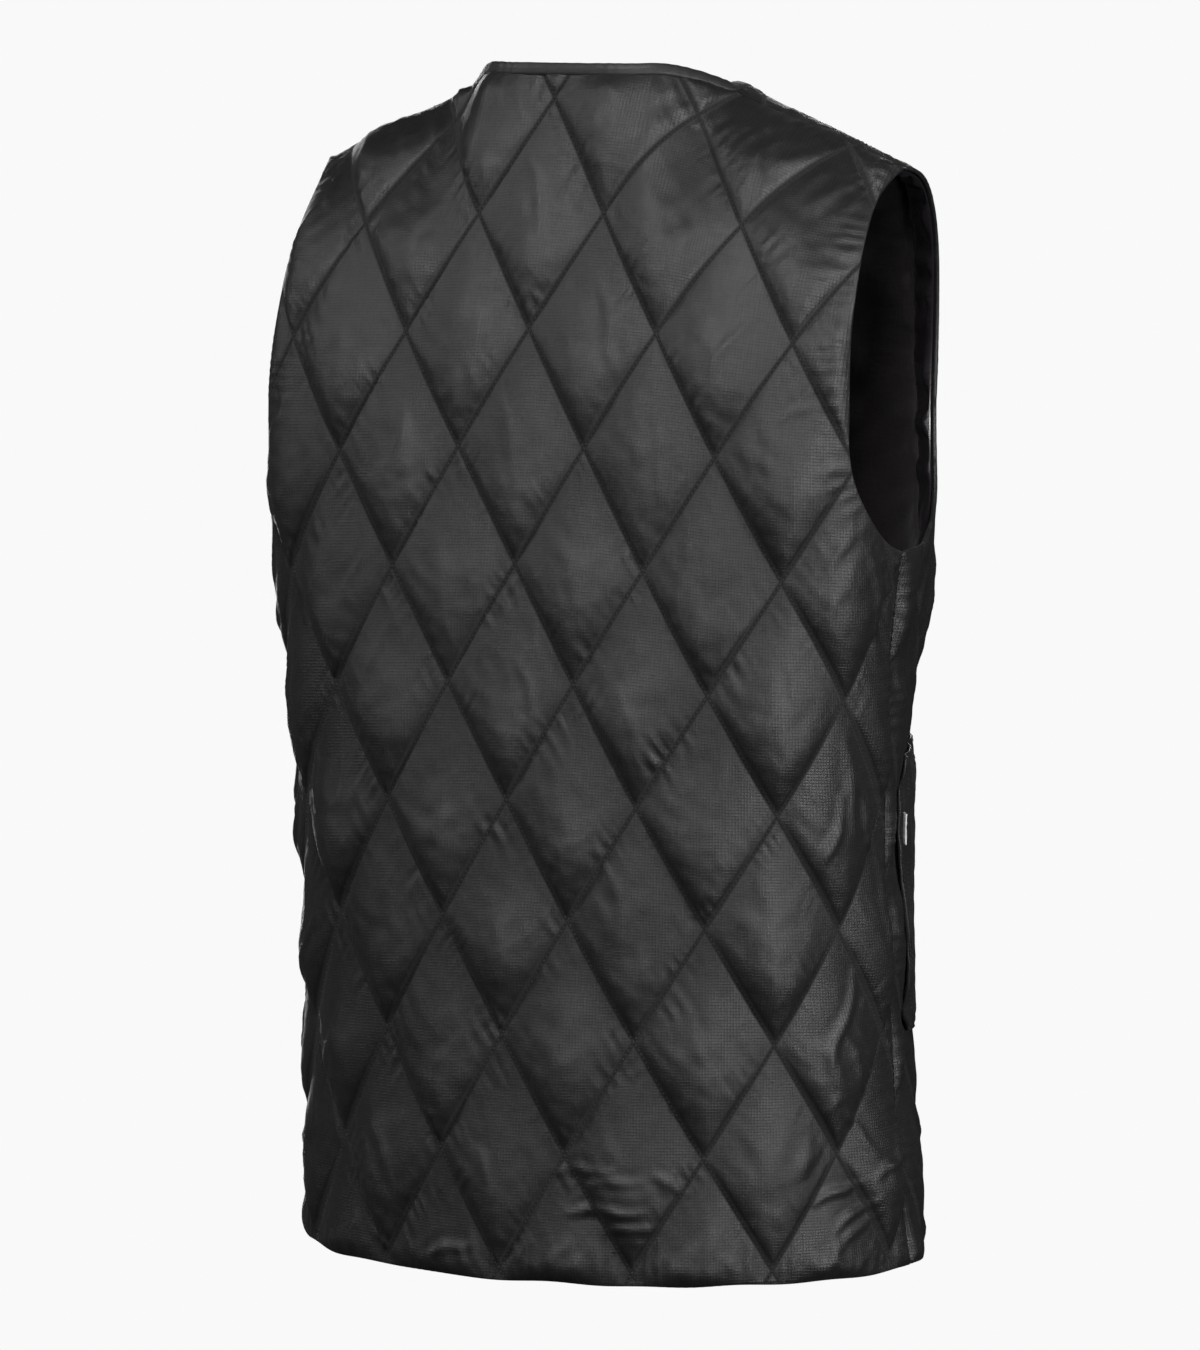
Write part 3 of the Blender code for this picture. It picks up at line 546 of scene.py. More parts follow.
class Cut:
    """a closed cut line with its named edges, and how far flat places lie from it"""

    def __init__(self, edges):
        self.loop = np.concatenate([line[:-1] for tag, line in edges])
        self.tags = [tag for tag, line in edges for k in range(len(line) - 1)]
        turn = np.roll(self.loop, -1, 0) - np.roll(self.loop, 1, 0)
        area = np.sum(self.loop[:, 0] * np.roll(self.loop[:, 1], -1)
                      - self.loop[:, 1] * np.roll(self.loop[:, 0], -1))
        self.turn = math.copysign(1.0, area)
        self.area = abs(float(area)) * 0.5
        out = np.stack([turn[:, 1], -turn[:, 0]], -1) * self.turn
        self.out = out / np.maximum(np.linalg.norm(out, axis=1), 1e-9)[:, None]
        lines = [(tag, even(line, DENSE)[:-1]) for tag, line in edges]
        self.dense = np.concatenate([fine for tag, fine in lines])
        self.dense_tags = [tag for tag, fine in lines for k in fine]
        self.tree = KDTree(len(self.dense))
        for k, (u, v) in enumerate(self.dense):
            self.tree.insert((u, v, 0.0), k)
        self.tree.balance()

    def near(self, u, v):
        """distance to the cut line and the place along it"""
        found = [self.tree.find((x, y, 0.0)) for x, y in zip(u, v)]
        return np.array([f[2] for f in found]), np.array([f[1] for f in found])

    def holds(self, u, v):
        """whether flat places lie inside the cut line"""
        a = self.loop
        b = np.roll(a, -1, 0)
        inside = np.zeros(len(u), bool)
        for (x0, y0), (x1, y1) in zip(a, b):
            if y0 != y1:
                crosses = (y0 > v) != (y1 > v)
                inside ^= crosses & (u < x0 + (v - y0) * (x1 - x0) / (y1 - y0))
        return inside

    def box(self):
        """least and greatest u and v"""
        return self.loop.min(0), self.loop.max(0)


# ---- relief of the quilting

def quilt_size():
    sizes = bpy.context.scene.vest_sizes
    return sizes.quilt_wide, sizes.quilt_tall


def lattice(u, v):
    """how far along each family of stitch lines a flat place lies, in diamonds"""
    wide, tall = quilt_size()
    p = (u - QUILT_U) / (0.5 * wide)
    q = (v - QUILT_V - QUILT_TILT * u) / (0.5 * tall)
    return 0.5 * (p - q), 0.5 * (p + q)


def lattice_span(cut):
    """lowest and highest place of a cut in both families of stitch lines"""
    lo, hi = cut.box()
    corners = [lattice(u, v) for u in (lo[0], hi[0]) for v in (lo[1], hi[1])]
    return np.min(corners, 0), np.max(corners, 0)


def unlattice(a, b):
    """the flat place of a place in the lattice"""
    wide, tall = quilt_size()
    u = QUILT_U + (a + b) * 0.5 * wide
    return u, QUILT_V + (b - a) * 0.5 * tall + QUILT_TILT * u


def waves(u, v, seed, short, long, count=24):
    """smooth uneven noise of about one, from waves of many directions"""
    rng = np.random.default_rng(seed)
    total = np.zeros(np.shape(u))
    for k in range(count):
        turn = rng.uniform(0.0, math.pi)
        size = rng.uniform(short, long)
        phase = rng.uniform(0.0, 2.0 * math.pi)
        total += np.sin((u * math.cos(turn) + v * math.sin(turn)) * 2 * math.pi / size + phase)
    return total / math.sqrt(count * 0.5)


def gathers(s, d, key, size, reach):
    """small folds that run away from a stitch line: s along it, d away from it"""
    p1 = np.sin(key * 12.9898) * 43.7
    p2 = np.sin(key * 78.233) * 91.3
    way = 2.0 * math.pi * s / size + p1 + 1.7 * np.sin(2.0 * math.pi * s / (size * 4.3) + p2)
    strong = 0.25 + 0.75 * np.abs(np.sin(math.pi * s / (size * 7.9) + p2)) ** 1.5
    t = d / reach
    return np.sin(way) * strong * t * np.exp(1.0 - t)


def creases(u, v, rows):
    """height of single folds, each a ridge between two shallow dips"""
    total = 0.0 * u
    for u0, v0, u1, v1, width, height in rows:
        du = u1 - u0
        dv = v1 - v0
        long = math.hypot(du, dv)
        room = 4.0 * width + 0.2 * long
        near = (u > min(u0, u1) - room) & (u < max(u0, u1) + room)
        near &= (v > min(v0, v1) - room) & (v < max(v0, v1) + room)
        x = u[near] - u0
        y = v[near] - v0
        along = (x * du + y * dv) / long ** 2
        bend = 0.05 * long * np.sin(math.pi * np.clip(along, 0.0, 1.0) * 1.7)
        off = (x * dv - y * du) / long + bend
        reach = np.clip(along, -0.15, 1.15)
        fade = np.maximum(np.sin(math.pi * (reach + 0.15) / 1.3), 0.0) ** 0.7
        off = off / (width * (0.6 + 0.4 * fade))
        total[near] += height * fade * (1.0 - 0.8 * off ** 2) * np.exp(-0.7 * off ** 2)
    return total


def face_creases(cut, seed):
    """one or two soft long folds over the face of most diamonds"""
    row, col = (k.ravel() for k in np.meshgrid(
        np.arange(-12, 13), np.arange(-12, 13), np.arange(2))[:2])
    draw = np.random.default_rng(seed).uniform(0.0, 1.0, (7, len(row)))
    u, v = unlattice(row + 0.25 + 0.50 * draw[0], col + 0.25 + 0.50 * draw[1])
    lean = np.radians(-30.0 + 60.0 * draw[2])
    half = 0.010 + 0.018 * draw[4]
    du = half * np.sin(lean)
    dv = half * np.cos(lean)
    width = 0.0032 + 0.0032 * draw[6]
    beside = ease((np.abs(u) - 0.160) / 0.030) * ease((v - 0.26) / 0.06)
    height = (0.00024 + 0.00056 * draw[3]) * (1.0 + 1.8 * beside)
    keep = (draw[5] < 0.62 + 0.30 * beside) & cut.holds(u, v)
    rows = np.stack([u - du, v - dv, u + du, v + dv, width, height], 1)[keep]
    return [tuple(r) for r in rows]


def edge_creases(cut, tags, gap, seed):
    """short folds that run in from an edge, unevenly spaced"""
    rng = np.random.default_rng(seed)
    rows = []
    at = 0.0
    while at < len(cut.dense) - 4:
        at += rng.uniform(0.5, 1.5) * gap / DENSE
        k = int(at)
        if k >= len(cut.dense) - 3:
            break
        spot = cut.dense[k]
        turn = cut.dense[k + 2] - cut.dense[k - 2]
        inward = np.array([-turn[1], turn[0]]) / max(1e-9, float(np.hypot(*turn))) * cut.turn
        lean = rng.uniform(-0.9, 0.9)
        way = np.array([inward[0] * math.cos(lean) - inward[1] * math.sin(lean),
                        inward[0] * math.sin(lean) + inward[1] * math.cos(lean)])
        first = spot + inward * rng.uniform(0.005, 0.008)
        last = first + way * rng.uniform(0.007, 0.022)
        width = rng.uniform(0.0030, 0.0042)
        height = rng.uniform(0.0004, 0.0011) * (1.0 if cut.dense_tags[k] == "hem" else 0.20)
        if cut.dense_tags[k] in tags:
            rows.append((*first, *last, width, height))
    return rows


def quilt_gathers(u, v):
    """gathers along both families of stitch lines"""
    wide, tall = quilt_size()
    side = 0.5 * math.hypot(wide, tall)
    apart = 0.5 * wide * tall / side
    a, b = lattice(u, v)
    total = 0.0
    here = np.clip(waves(u, v, 401, 0.020, 0.070) * 0.6, 0.0, 1.3) + 0.12
    for along, across, base in ((b, a, 3.0), (a, b, 57.0)):
        line = np.round(across)
        off = across - line
        key = base + line + 0.37 * np.sign(off)
        s = along * side
        d = np.abs(off) * apart
        total = total + gathers(s, d, key, 0.0072, 0.0036)
        total = total + 0.6 * gathers(s, d, key + 9.1, 0.0119, 0.0062)
    return total * here


TILES = []
TILE_ROWS = 3
BLOW_FRAMES = 20
BLOW_SETTINGS = {
    "quality": 5, "mass": 0.1,
    "tension_stiffness": 20.0, "compression_stiffness": 20.0, "shear_stiffness": 8.0,
    "bending_stiffness": 500.0, "tension_damping": 5.0, "compression_damping": 5.0,
    "shear_damping": 5.0, "bending_damping": 0.5, "air_damping": 2.0,
    "vertex_group_mass": "stitched", "shrink_min": -0.012,
    "use_pressure": True, "uniform_pressure_force": 8.0,
}


def blow(mesh, held):
    """heights of a flat mesh after a cloth simulation blows it up between held nodes"""
    ob = bpy.data.objects.new("blown", mesh)
    scene = bpy.context.scene
    scene.collection.objects.link(ob)
    pins = ob.vertex_groups.new(name="stitched")
    pins.add([int(k) for k in np.flatnonzero(held.ravel())], 1.0, "REPLACE")
    mod = ob.modifiers.new("cloth", "CLOTH")
    for key, value in BLOW_SETTINGS.items():
        setattr(mod.settings, key, value)
    mod.settings.effector_weights.gravity = 0.0
    mod.collision_settings.use_collision = False
    mod.collision_settings.use_self_collision = False
    mod.point_cache.frame_end = BLOW_FRAMES
    for number in range(1, BLOW_FRAMES + 1):
        scene.frame_set(number)
    seen = ob.evaluated_get(bpy.context.evaluated_depsgraph_get())
    done = bpy.data.meshes.new_from_object(seen)
    spots = np.zeros(len(done.vertices) * 3)
    done.vertices.foreach_get("co", spots)
    scene.frame_set(1)
    bpy.data.objects.remove(ob, do_unlink=True)
    bpy.data.meshes.remove(done)
    bpy.data.meshes.remove(mesh)
    return spots[2::3].reshape(held.shape)


def blown_tiles():
    """diamonds of thin cloth held along their stitch lines and blown up, as shares of
    their usual height"""
    if TILES:
        return TILES
    cells = bpy.context.scene.vest_sizes.cells
    count = np.arange(TILE_ROWS * cells + 1)
    a, b = np.meshgrid(count, count, indexing="ij")
    held = (a % cells == 0) | (b % cells == 0)
    index = np.arange(a.size).reshape(a.shape)
    a = a / cells
    b = b / cells
    wide, tall = quilt_size()
    x = (a + b) * 0.5 * wide
    y = (a - b) * 0.5 * tall
    start = 0.005 * np.abs(np.sin(math.pi * a) * np.sin(math.pi * b)) ** 0.6
    start = start + 0.00033 * waves(x, y, 3, 0.010, 0.030, 60)
    start[held] = 0.0
    n00, n10, n11, n01 = (k.ravel() for k in (
        index[:-1, :-1], index[1:, :-1], index[1:, 1:], index[:-1, 1:]))
    faces = np.concatenate([np.stack([n00, n10, n11], 1), np.stack([n00, n11, n01], 1)])
    mesh = bpy.data.meshes.new("blown")
    mesh.from_pydata(np.stack([x.ravel(), y.ravel(), start.ravel()], 1).tolist(), [],
                     faces.tolist())
    height = blow(mesh, held)
    for lap in range(4):
        calm = height.copy()
        calm[1:-1, 1:-1] = (height[:-2, 1:-1] + height[2:, 1:-1] + height[1:-1, :-2]
                            + height[1:-1, 2:]) * 0.125 + height[1:-1, 1:-1] * 0.5
        calm[held] = 0.0
        height = calm
    height = height / np.percentile(height, 97.0)
    for i in range(TILE_ROWS):
        for j in range(TILE_ROWS):
            one = height[i * cells:(i + 1) * cells + 1, j * cells:(j + 1) * cells + 1]
            TILES.extend([one, one.T, one[::-1, ::-1].T, one[::-1, ::-1]])
    return TILES


def blown(u, v, seed):
    """height share of the padding at flat places, from tiles of blown cloth"""
    a, b = sagged(*lattice(u, v))
    tiles = np.array(blown_tiles())
    cells = bpy.context.scene.vest_sizes.cells
    row = np.floor(a)
    col = np.floor(b)
    pick = np.abs(np.sin(row * 127.1 + col * 311.7 + seed * 17.3) * 43758.5453)
    pick = (pick % 1.0 * len(tiles)).astype(int) % len(tiles)
    x = (a - row) * cells
    y = (b - col) * cells
    i = np.clip(x.astype(int), 0, cells - 1)
    j = np.clip(y.astype(int), 0, cells - 1)
    x = x - i
    y = y - j
    near = (1.0 - x) * tiles[pick, i, j] + x * tiles[pick, i + 1, j]
    far = (1.0 - x) * tiles[pick, i, j + 1] + x * tiles[pick, i + 1, j + 1]
    return (1.0 - y) * near + y * far


def sagged(a, b):
    """the filling sinks in each diamond, so its two lower edges are steeper"""
    row = np.floor(a)
    col = np.floor(b)
    return row + 1.0 - (1.0 - (a - row)) ** 1.65, col + (b - col) ** 2.40


def quilt_dome(u, v):
    """share of the padding's full height at a flat place, before it is made uneven"""
    a, b = sagged(*lattice(u, v))
    return np.abs(np.sin(math.pi * a) * np.sin(math.pi * b)) ** 0.43


def pocket_cover(u, v):
    """one inside the outline of a pocket, nought outside it"""
    side = np.abs(u)
    across = np.minimum(side - POCKET_IN_U, POCKET_OUT_U - side)
    down = np.minimum(v - POCKET_TOP_V, POCKET_LOW_V - v)
    return ease(np.minimum(across, down) / 0.014)


def lap_lift(side, way):
    """the left front lies over the right one, from the placket inwards"""
    top = LAP_LIFT if way > 0.0 else 0.0
    return top * (1.0 - ease((side - PLACKET) / LAP_FADE))


def dent(u, v):
    """the sides of the fronts lie in a little, most of all behind the pockets"""
    side = np.abs(u)
    deep = 0.0044 * ease((v - 0.08) / 0.14)
    deep = deep + 0.0034 * ease((v - 0.33) / 0.05) * (1.0 - ease((v - 0.57) / 0.05))
    return -deep * ease((side - 0.150) / 0.035) * (1.0 - ease((side - 0.232) / 0.030))


class Relief:
    """the relief of a padded panel; way is 1 for the left front, -1 for the right one and
    nought for the back"""

    def __init__(self, cut, way, folds, seed):
        self.cut = cut
        self.way = way
        self.seed = seed
        edges = edge_creases(cut, ("hem",), 0.014, seed)
        edges += edge_creases(cut, ("armhole",), 0.026, seed + 3)
        across = np.linspace(NECK_POINT_U - 0.03, SHOULDER_TIP_U + 0.01, 40)
        self.shoulder = np.array([(x, FRONT.top(x)) for x in across])
        self.folds = list(folds) + edges + edge_creases(cut, ("side",), 0.030, seed + 1)
        self.folds += face_creases(cut, seed + 2)

    def flattened(self, u, v, pad):
        """a front's padding, thinner at the shoulder, the side, the pocket and the placket"""
        side = np.abs(u)
        below = v - np.interp(side, self.shoulder[:, 0], self.shoulder[:, 1])
        calm = 0.12 + 0.88 * ease((below - SHOULDER_PLAIN) / 0.050)
        ribs = np.sin(2.0 * math.pi * below / 0.0090 + 1.5 * waves(u, v, 77, 0.03, 0.07))
        ribs = 0.00010 * ribs * (1.0 - ease((below - SHOULDER_PLAIN) / 0.012))
        pad = (pad * calm + ribs) * (1.0 - 0.30 * ease((side - 0.165) / 0.030))
        pad = pad * (1.0 - 0.40 * pocket_cover(u, v))
        flat = ease((self.way * u - PLACKET) / 0.010)
        return pad * flat + 0.00015 * waves(u, v, self.seed + 3, 0.008, 0.02) * (1 - flat)

    def lift(self, u, v):
        """height of the panel's inner side over the form"""
        if self.way == 0.0:
            return 0.0 * u
        return lap_lift(self.way * u, self.way) + dent(u, v)

    def __call__(self, u, v):
        """height of the outer side over the form"""
        sizes = bpy.context.scene.vest_sizes
        d, at = self.cut.near(u, v)
        tags = np.array([list(EDGES).index(t) for t in self.cut.dense_tags])[at]
        rows = np.array(list(EDGES.values()))
        low = rows[tags, 0]
        press = np.sin(0.5 * math.pi * np.clip(d / rows[tags, 1], 0.0, 1.0)) ** 0.75
        dome = quilt_dome(u, v)
        uneven = 1.0 + 0.10 * waves(u, v, self.seed, 0.06, 0.16)
        soft = 0.00013 * waves(u, v, self.seed + 7, 0.012, 0.040, 40)
        full = (1.0 - sizes.blown) * dome + sizes.blown * blown(u, v, self.seed)
        pad = sizes.puff * full * uneven + dome ** 0.5 * soft
        pad = pad + sizes.pucker * quilt_gathers(u, v)
        if self.way != 0.0:
            pad = self.flattened(u, v, pad)
        pad = pad + creases(u, v, self.folds) * ease(d / 0.006)
        edge = 0.0004 * gathers(at * DENSE, d, self.seed * 5.0, 0.0090, 0.0060)
        return self.lift(u, v) + low + (WALL + pad - low) * press + edge


def quilt_nodes(cut, cells, room=0.45):
    """nodes of the fine net inside a cut, in rows along the stitch lines"""
    low, high = lattice_span(cut)
    a, b = (np.arange(math.floor(low[k] * cells), math.ceil(high[k] * cells) + 1)
            for k in (0, 1))
    a, b = (x.ravel() / cells for x in np.meshgrid(a, b, indexing="ij"))
    u, v = unlattice(a, b)
    lo, hi = cut.box()
    keep = (u > lo[0]) & (u < hi[0]) & (v > lo[1]) & (v < hi[1])
    nodes = np.stack([u[keep], v[keep]], -1)
    return nodes[cut.near(*nodes.T)[0] > room * quilt_size()[0] / cells]


def square_nodes(cut, size, room=0.45):
    """nodes of a plain net inside a cut, every other row shifted by half a step"""
    lo, hi = cut.box()
    u, v = np.meshgrid(np.arange(lo[0], hi[0], size), np.arange(lo[1], hi[1], size))
    u = u + (np.arange(len(u)) % 2)[:, None] * size * 0.5
    nodes = np.stack([u.ravel(), v.ravel()], -1)
    return nodes[cut.near(*nodes.T)[0] > room * size]


def fill(loop, nodes):
    """triangles over the nodes inside a loop; points count from the loop's first"""
    n = len(loop)
    flat = [Vector((u, v)) for u, v in np.concatenate([loop, nodes])]
    made = delaunay_2d_cdt(flat, [], [list(range(n))], 1, 1e-7)
    back = [o[0] if o else -1 for o in made[3]]
    if min(back) < 0:
        raise RuntimeError("a cut line crosses itself")
    return np.array([[back[k] for k in tri] for tri in made[2]])


def cloth(name, form, cut, nodes, under, outer, inner, mat, bulge=0.0007):
    """a closed cloth piece: an outer side, a rounded edge and an inner side"""
    loop = cut.loop
    n = len(loop)
    free = np.array([t not in ("side", "shoulder") for t in cut.tags])
    puff = np.where(free, bulge, 0.0)
    top = outer(*loop.T)
    low = inner(*loop.T)
    flat = [loop, nodes]
    heights = [top, outer(*nodes.T)]
    tris = [fill(loop, nodes)]
    here = np.arange(n)
    after = (here + 1) % n
    first = 0
    ring = n + len(nodes)
    for turn in (0.25, 0.5, 0.75, 1.0):
        if turn < 1.0:
            flat.append(loop + cut.out * (puff * math.sin(math.pi * turn))[:, None])
            heights.append(0.5 * (top + low) + 0.5 * (top - low) * math.cos(math.pi * turn))
        else:
            flat.append(loop)
            heights.append(low)
        tris.append(np.stack([first + here, ring + here, ring + after], -1))
        tris.append(np.stack([first + here, ring + after, first + after], -1))
        first = ring
        ring += n
    flat.append(under)
    heights.append(inner(*under.T))
    tris.append(fill(loop, under)[:, ::-1] + first)
    flat = np.concatenate(flat)
    spots = form.place(flat[:, 0], flat[:, 1], np.concatenate(heights))
    ob = piece(name, spots, np.concatenate(tris), mat, flat)
    sharpen(ob.data, n, free)
    return ob


def sharpen(mesh, n, free):
    """sewn edges of the outer side, whose points come first in the mesh, stay sharp"""
    ends = np.zeros(len(mesh.edges) * 2, np.int32)
    mesh.edges.foreach_get("vertices", ends)
    a, b = ends.reshape(-1, 2).T
    rim = (a < n) & (b < n) & np.isin(np.abs(a - b), (1, n - 1))
    sewn = ~free[np.minimum(a, n - 1)] & ~free[np.minimum(b, n - 1)]
    mesh.attributes.new("sharp_edge", "BOOLEAN", "EDGE").data.foreach_set("value", rim & sewn)


def piece(name, spots, faces, mat, flat=None):
    """a mesh object with its own cloth map, faces turned outwards"""
    mesh = bpy.data.meshes.new(name)
    faces = faces.tolist() if isinstance(faces, np.ndarray) else faces
    mesh.from_pydata(np.array(spots).tolist(), [], faces)
    if flat is not None:
        corners = np.zeros(len(mesh.loops), np.int32)
        mesh.loops.foreach_get("vertex_index", corners)
        layer = mesh.uv_layers.new(name="cloth")
        layer.uv.foreach_set("vector", (flat[corners] * np.array([1.0, -1.0])).ravel())
    bm = bmesh.new()
    bm.from_mesh(mesh)
    loose = [v for v in bm.verts if not v.link_faces]
    bmesh.ops.delete(bm, geom=loose, context="VERTS")
    bmesh.ops.recalc_face_normals(bm, faces=bm.faces)
    if bm.calc_volume(signed=True) < 0.0:
        bmesh.ops.reverse_faces(bm, faces=bm.faces)
    bm.to_mesh(mesh)
    bm.free()
    mesh.polygons.foreach_set("use_smooth", [True] * len(mesh.polygons))
    mesh.materials.append(mat)
    ob = bpy.data.objects.new(name, mesh)
    bpy.context.scene.collection.objects.link(ob)
    return ob


def inner_side(form):
    """where the inner cloth meets the panels"""
    return lambda u, v: -LINING_GAP + (dent(u, v) if form is FRONT else 0.0 * u)


def settle(ob, slot, *nodes):
    """ride on the vest and stand for its solids"""
    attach(ob, "root")
    if nodes:
        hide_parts(*nodes)


def ring_faces(rings, sides):
    """quads between rings of points"""
    corners = [(r * sides + k, r * sides + (k + 1) % sides)
               for r in range(rings - 1) for k in range(sides)]
    return [(a, b, b + sides, a + sides) for a, b in corners]


# ---- materials

DITCH_PAINTED_SHADE = 0.20       # painted shade: the shell's colour is darker by this factor in the stitch lines, standing for the shadow in their valleys


class Tree:
    """short words for building node trees"""

    def __init__(self, tree):
        self.tree = tree
        self.x = 0

    def add(self, kind, feeds=None, **values):
        """a node with its settings; feeds are values or outputs for its inputs"""
        node = self.tree.nodes.new(kind)
        self.x += 1
        node.location = (self.x * 60, -self.x * 30)
        for key, value in values.items():
            setattr(node, key, value)
        for key, value in (feeds or {}).items():
            self.feed(value, node.inputs[key])
        return node

    def feed(self, value, into):
        if isinstance(value, bpy.types.NodeSocket):
            self.tree.links.new(value, into)
        else:
            into.default_value = value

    def math(self, op, *args):
        return self.add("ShaderNodeMath", dict(enumerate(args)), operation=op).outputs[0]

    def noise(self, vector, scale, detail, rough=0.5):
        feeds = {"Scale": scale, "Detail": detail, "Roughness": rough, "Vector": vector}
        return self.add("ShaderNodeTexNoise", feeds).outputs["Fac"]

    def remap(self, value, a, b, c, d):
        feeds = {"From Min": a, "From Max": b, "To Min": c, "To Max": d, "Value": value}
        return self.add("ShaderNodeMapRange", feeds).outputs["Result"]


def group(name, inputs, outputs, build):
    """a shader group, built once; an input without a value of its own is a vector"""
    if name in bpy.data.node_groups:
        return bpy.data.node_groups[name]
    made = bpy.data.node_groups.new(name, "ShaderNodeTree")
    for label, value in inputs.items():
        kind = "NodeSocketVector" if value is None else "NodeSocketFloat"
        socket = made.interface.new_socket(label, in_out="INPUT", socket_type=kind)
        if value is not None:
            socket.default_value = value
    for label in outputs:
        made.interface.new_socket(label, in_out="OUTPUT", socket_type="NodeSocketFloat")
    t = Tree(made)
    source = t.add("NodeGroupInput")
    t.add("NodeGroupOutput", dict(zip(outputs, build(t, source.outputs))))
    return made


def weave_group():
    """ripstop: fine threads with a stronger thread at every step both ways"""

    def build(t, src):
        parts = t.add("ShaderNodeSeparateXYZ", {0: src["Map"]})
        lines = []
        threads = []
        for axis in (0, 1):
            wobble = t.math("SUBTRACT", t.noise(src["Map"], 60.0, 2.0), 0.5)
            place = t.math("MULTIPLY_ADD", wobble, 0.0012, parts.outputs[axis])
            cell = t.math("FRACT", t.math("DIVIDE", place, src["Grid"]))
            near = t.math("ABSOLUTE", t.math("SUBTRACT", cell, 0.5))
            lines.append(t.remap(near, 0.34, 0.48, 0.0, 1.0))
            fine = t.math("DIVIDE", t.math("MULTIPLY", place, 5.0 * math.tau), src["Grid"])
            threads.append(t.math("SINE", fine))
        grid = t.math("MAXIMUM", *lines)
        fine = t.math("MULTIPLY", t.math("ADD", *threads), 0.25)
        height = t.math("ADD", t.math("MULTIPLY", grid, 0.6), t.math("MULTIPLY", fine, 0.4))
        slubs = []
        for scale in ((700.0, 90.0, 1.0), (90.0, 700.0, 1.0)):
            long = t.add("ShaderNodeMapping", {"Scale": scale, "Vector": src["Map"]})
            slubs.append(t.noise(long.outputs[0], 1.0, 2.0))
        return grid, t.remap(t.math("ADD", *slubs), 0.8, 1.2, 0.0, 1.0), height

    return group("ripstop_weave", {"Map": None, "Grid": 0.0019},
                 ("Grid mask", "Slub", "Height"), build)


def crumple_group():
    """small soft creases of light cloth, in metres"""

    def build(t, src):
        big = t.noise(src["Vector"], 110.0, 2.0, 0.45)
        fold = t.math("ABSOLUTE", t.math("MULTIPLY_ADD", big, 4.0, -2.0))
        ridge = t.math("MULTIPLY", t.math("SUBTRACT", 1.0, fold), 0.5)
        small = t.math("MULTIPLY", t.noise(src["Vector"], 420.0, 3.0, 0.55), 0.6)
        height = t.math("MULTIPLY", t.math("ADD", ridge, small), src["Depth"])
        return height, t.remap(t.noise(src["Vector"], 22.0, 2.0), 0.35, 0.65, 0.0, 1.0)

    return group("cloth_crumple", {"Vector": None, "Depth": 0.0002},
                 ("Height", "Patch"), build)


def ditch_group():
    """how near a place on the cloth map lies to a quilting line; the mask of the painted shade
    in the stitch-line valleys
    """

    def build(t, src):
        u, down = t.add("ShaderNodeSeparateXYZ", {0: src["Map"]}).outputs[:2]
        v = t.math("MULTIPLY", down, -1.0)
        p = t.math("DIVIDE", t.math("SUBTRACT", u, QUILT_U),
                   t.math("MULTIPLY", src["Wide"], 0.5))
        fall = t.math("MULTIPLY_ADD", u, -QUILT_TILT, t.math("SUBTRACT", v, QUILT_V))
        q = t.math("DIVIDE", fall, t.math("MULTIPLY", src["Tall"], 0.5))
        near = []
        for op in ("SUBTRACT", "ADD"):
            line = t.math("MULTIPLY", t.math(op, p, q), 0.5)
            off = t.math("ABSOLUTE", t.math("SUBTRACT", line, t.math("ROUND", line)))
            near.append(t.math("MULTIPLY", off, src["Apart"]))
        # one in the stitch lines, where shade is painted into the colour
        mark = t.remap(t.math("MINIMUM", *near), 0.0006, 0.0020, 1.0, 0.0)
        quilted = t.math("GREATER_THAN", t.math("ABSOLUTE", u), src["Plain strip"])
        return [t.math("MULTIPLY", mark, quilted)]

    return group("quilt_ditch", {"Map": None, "Wide": 0.083, "Tall": 0.140,
                                 "Apart": 0.0714, "Plain strip": 0.0}, ["Ditch"], build)


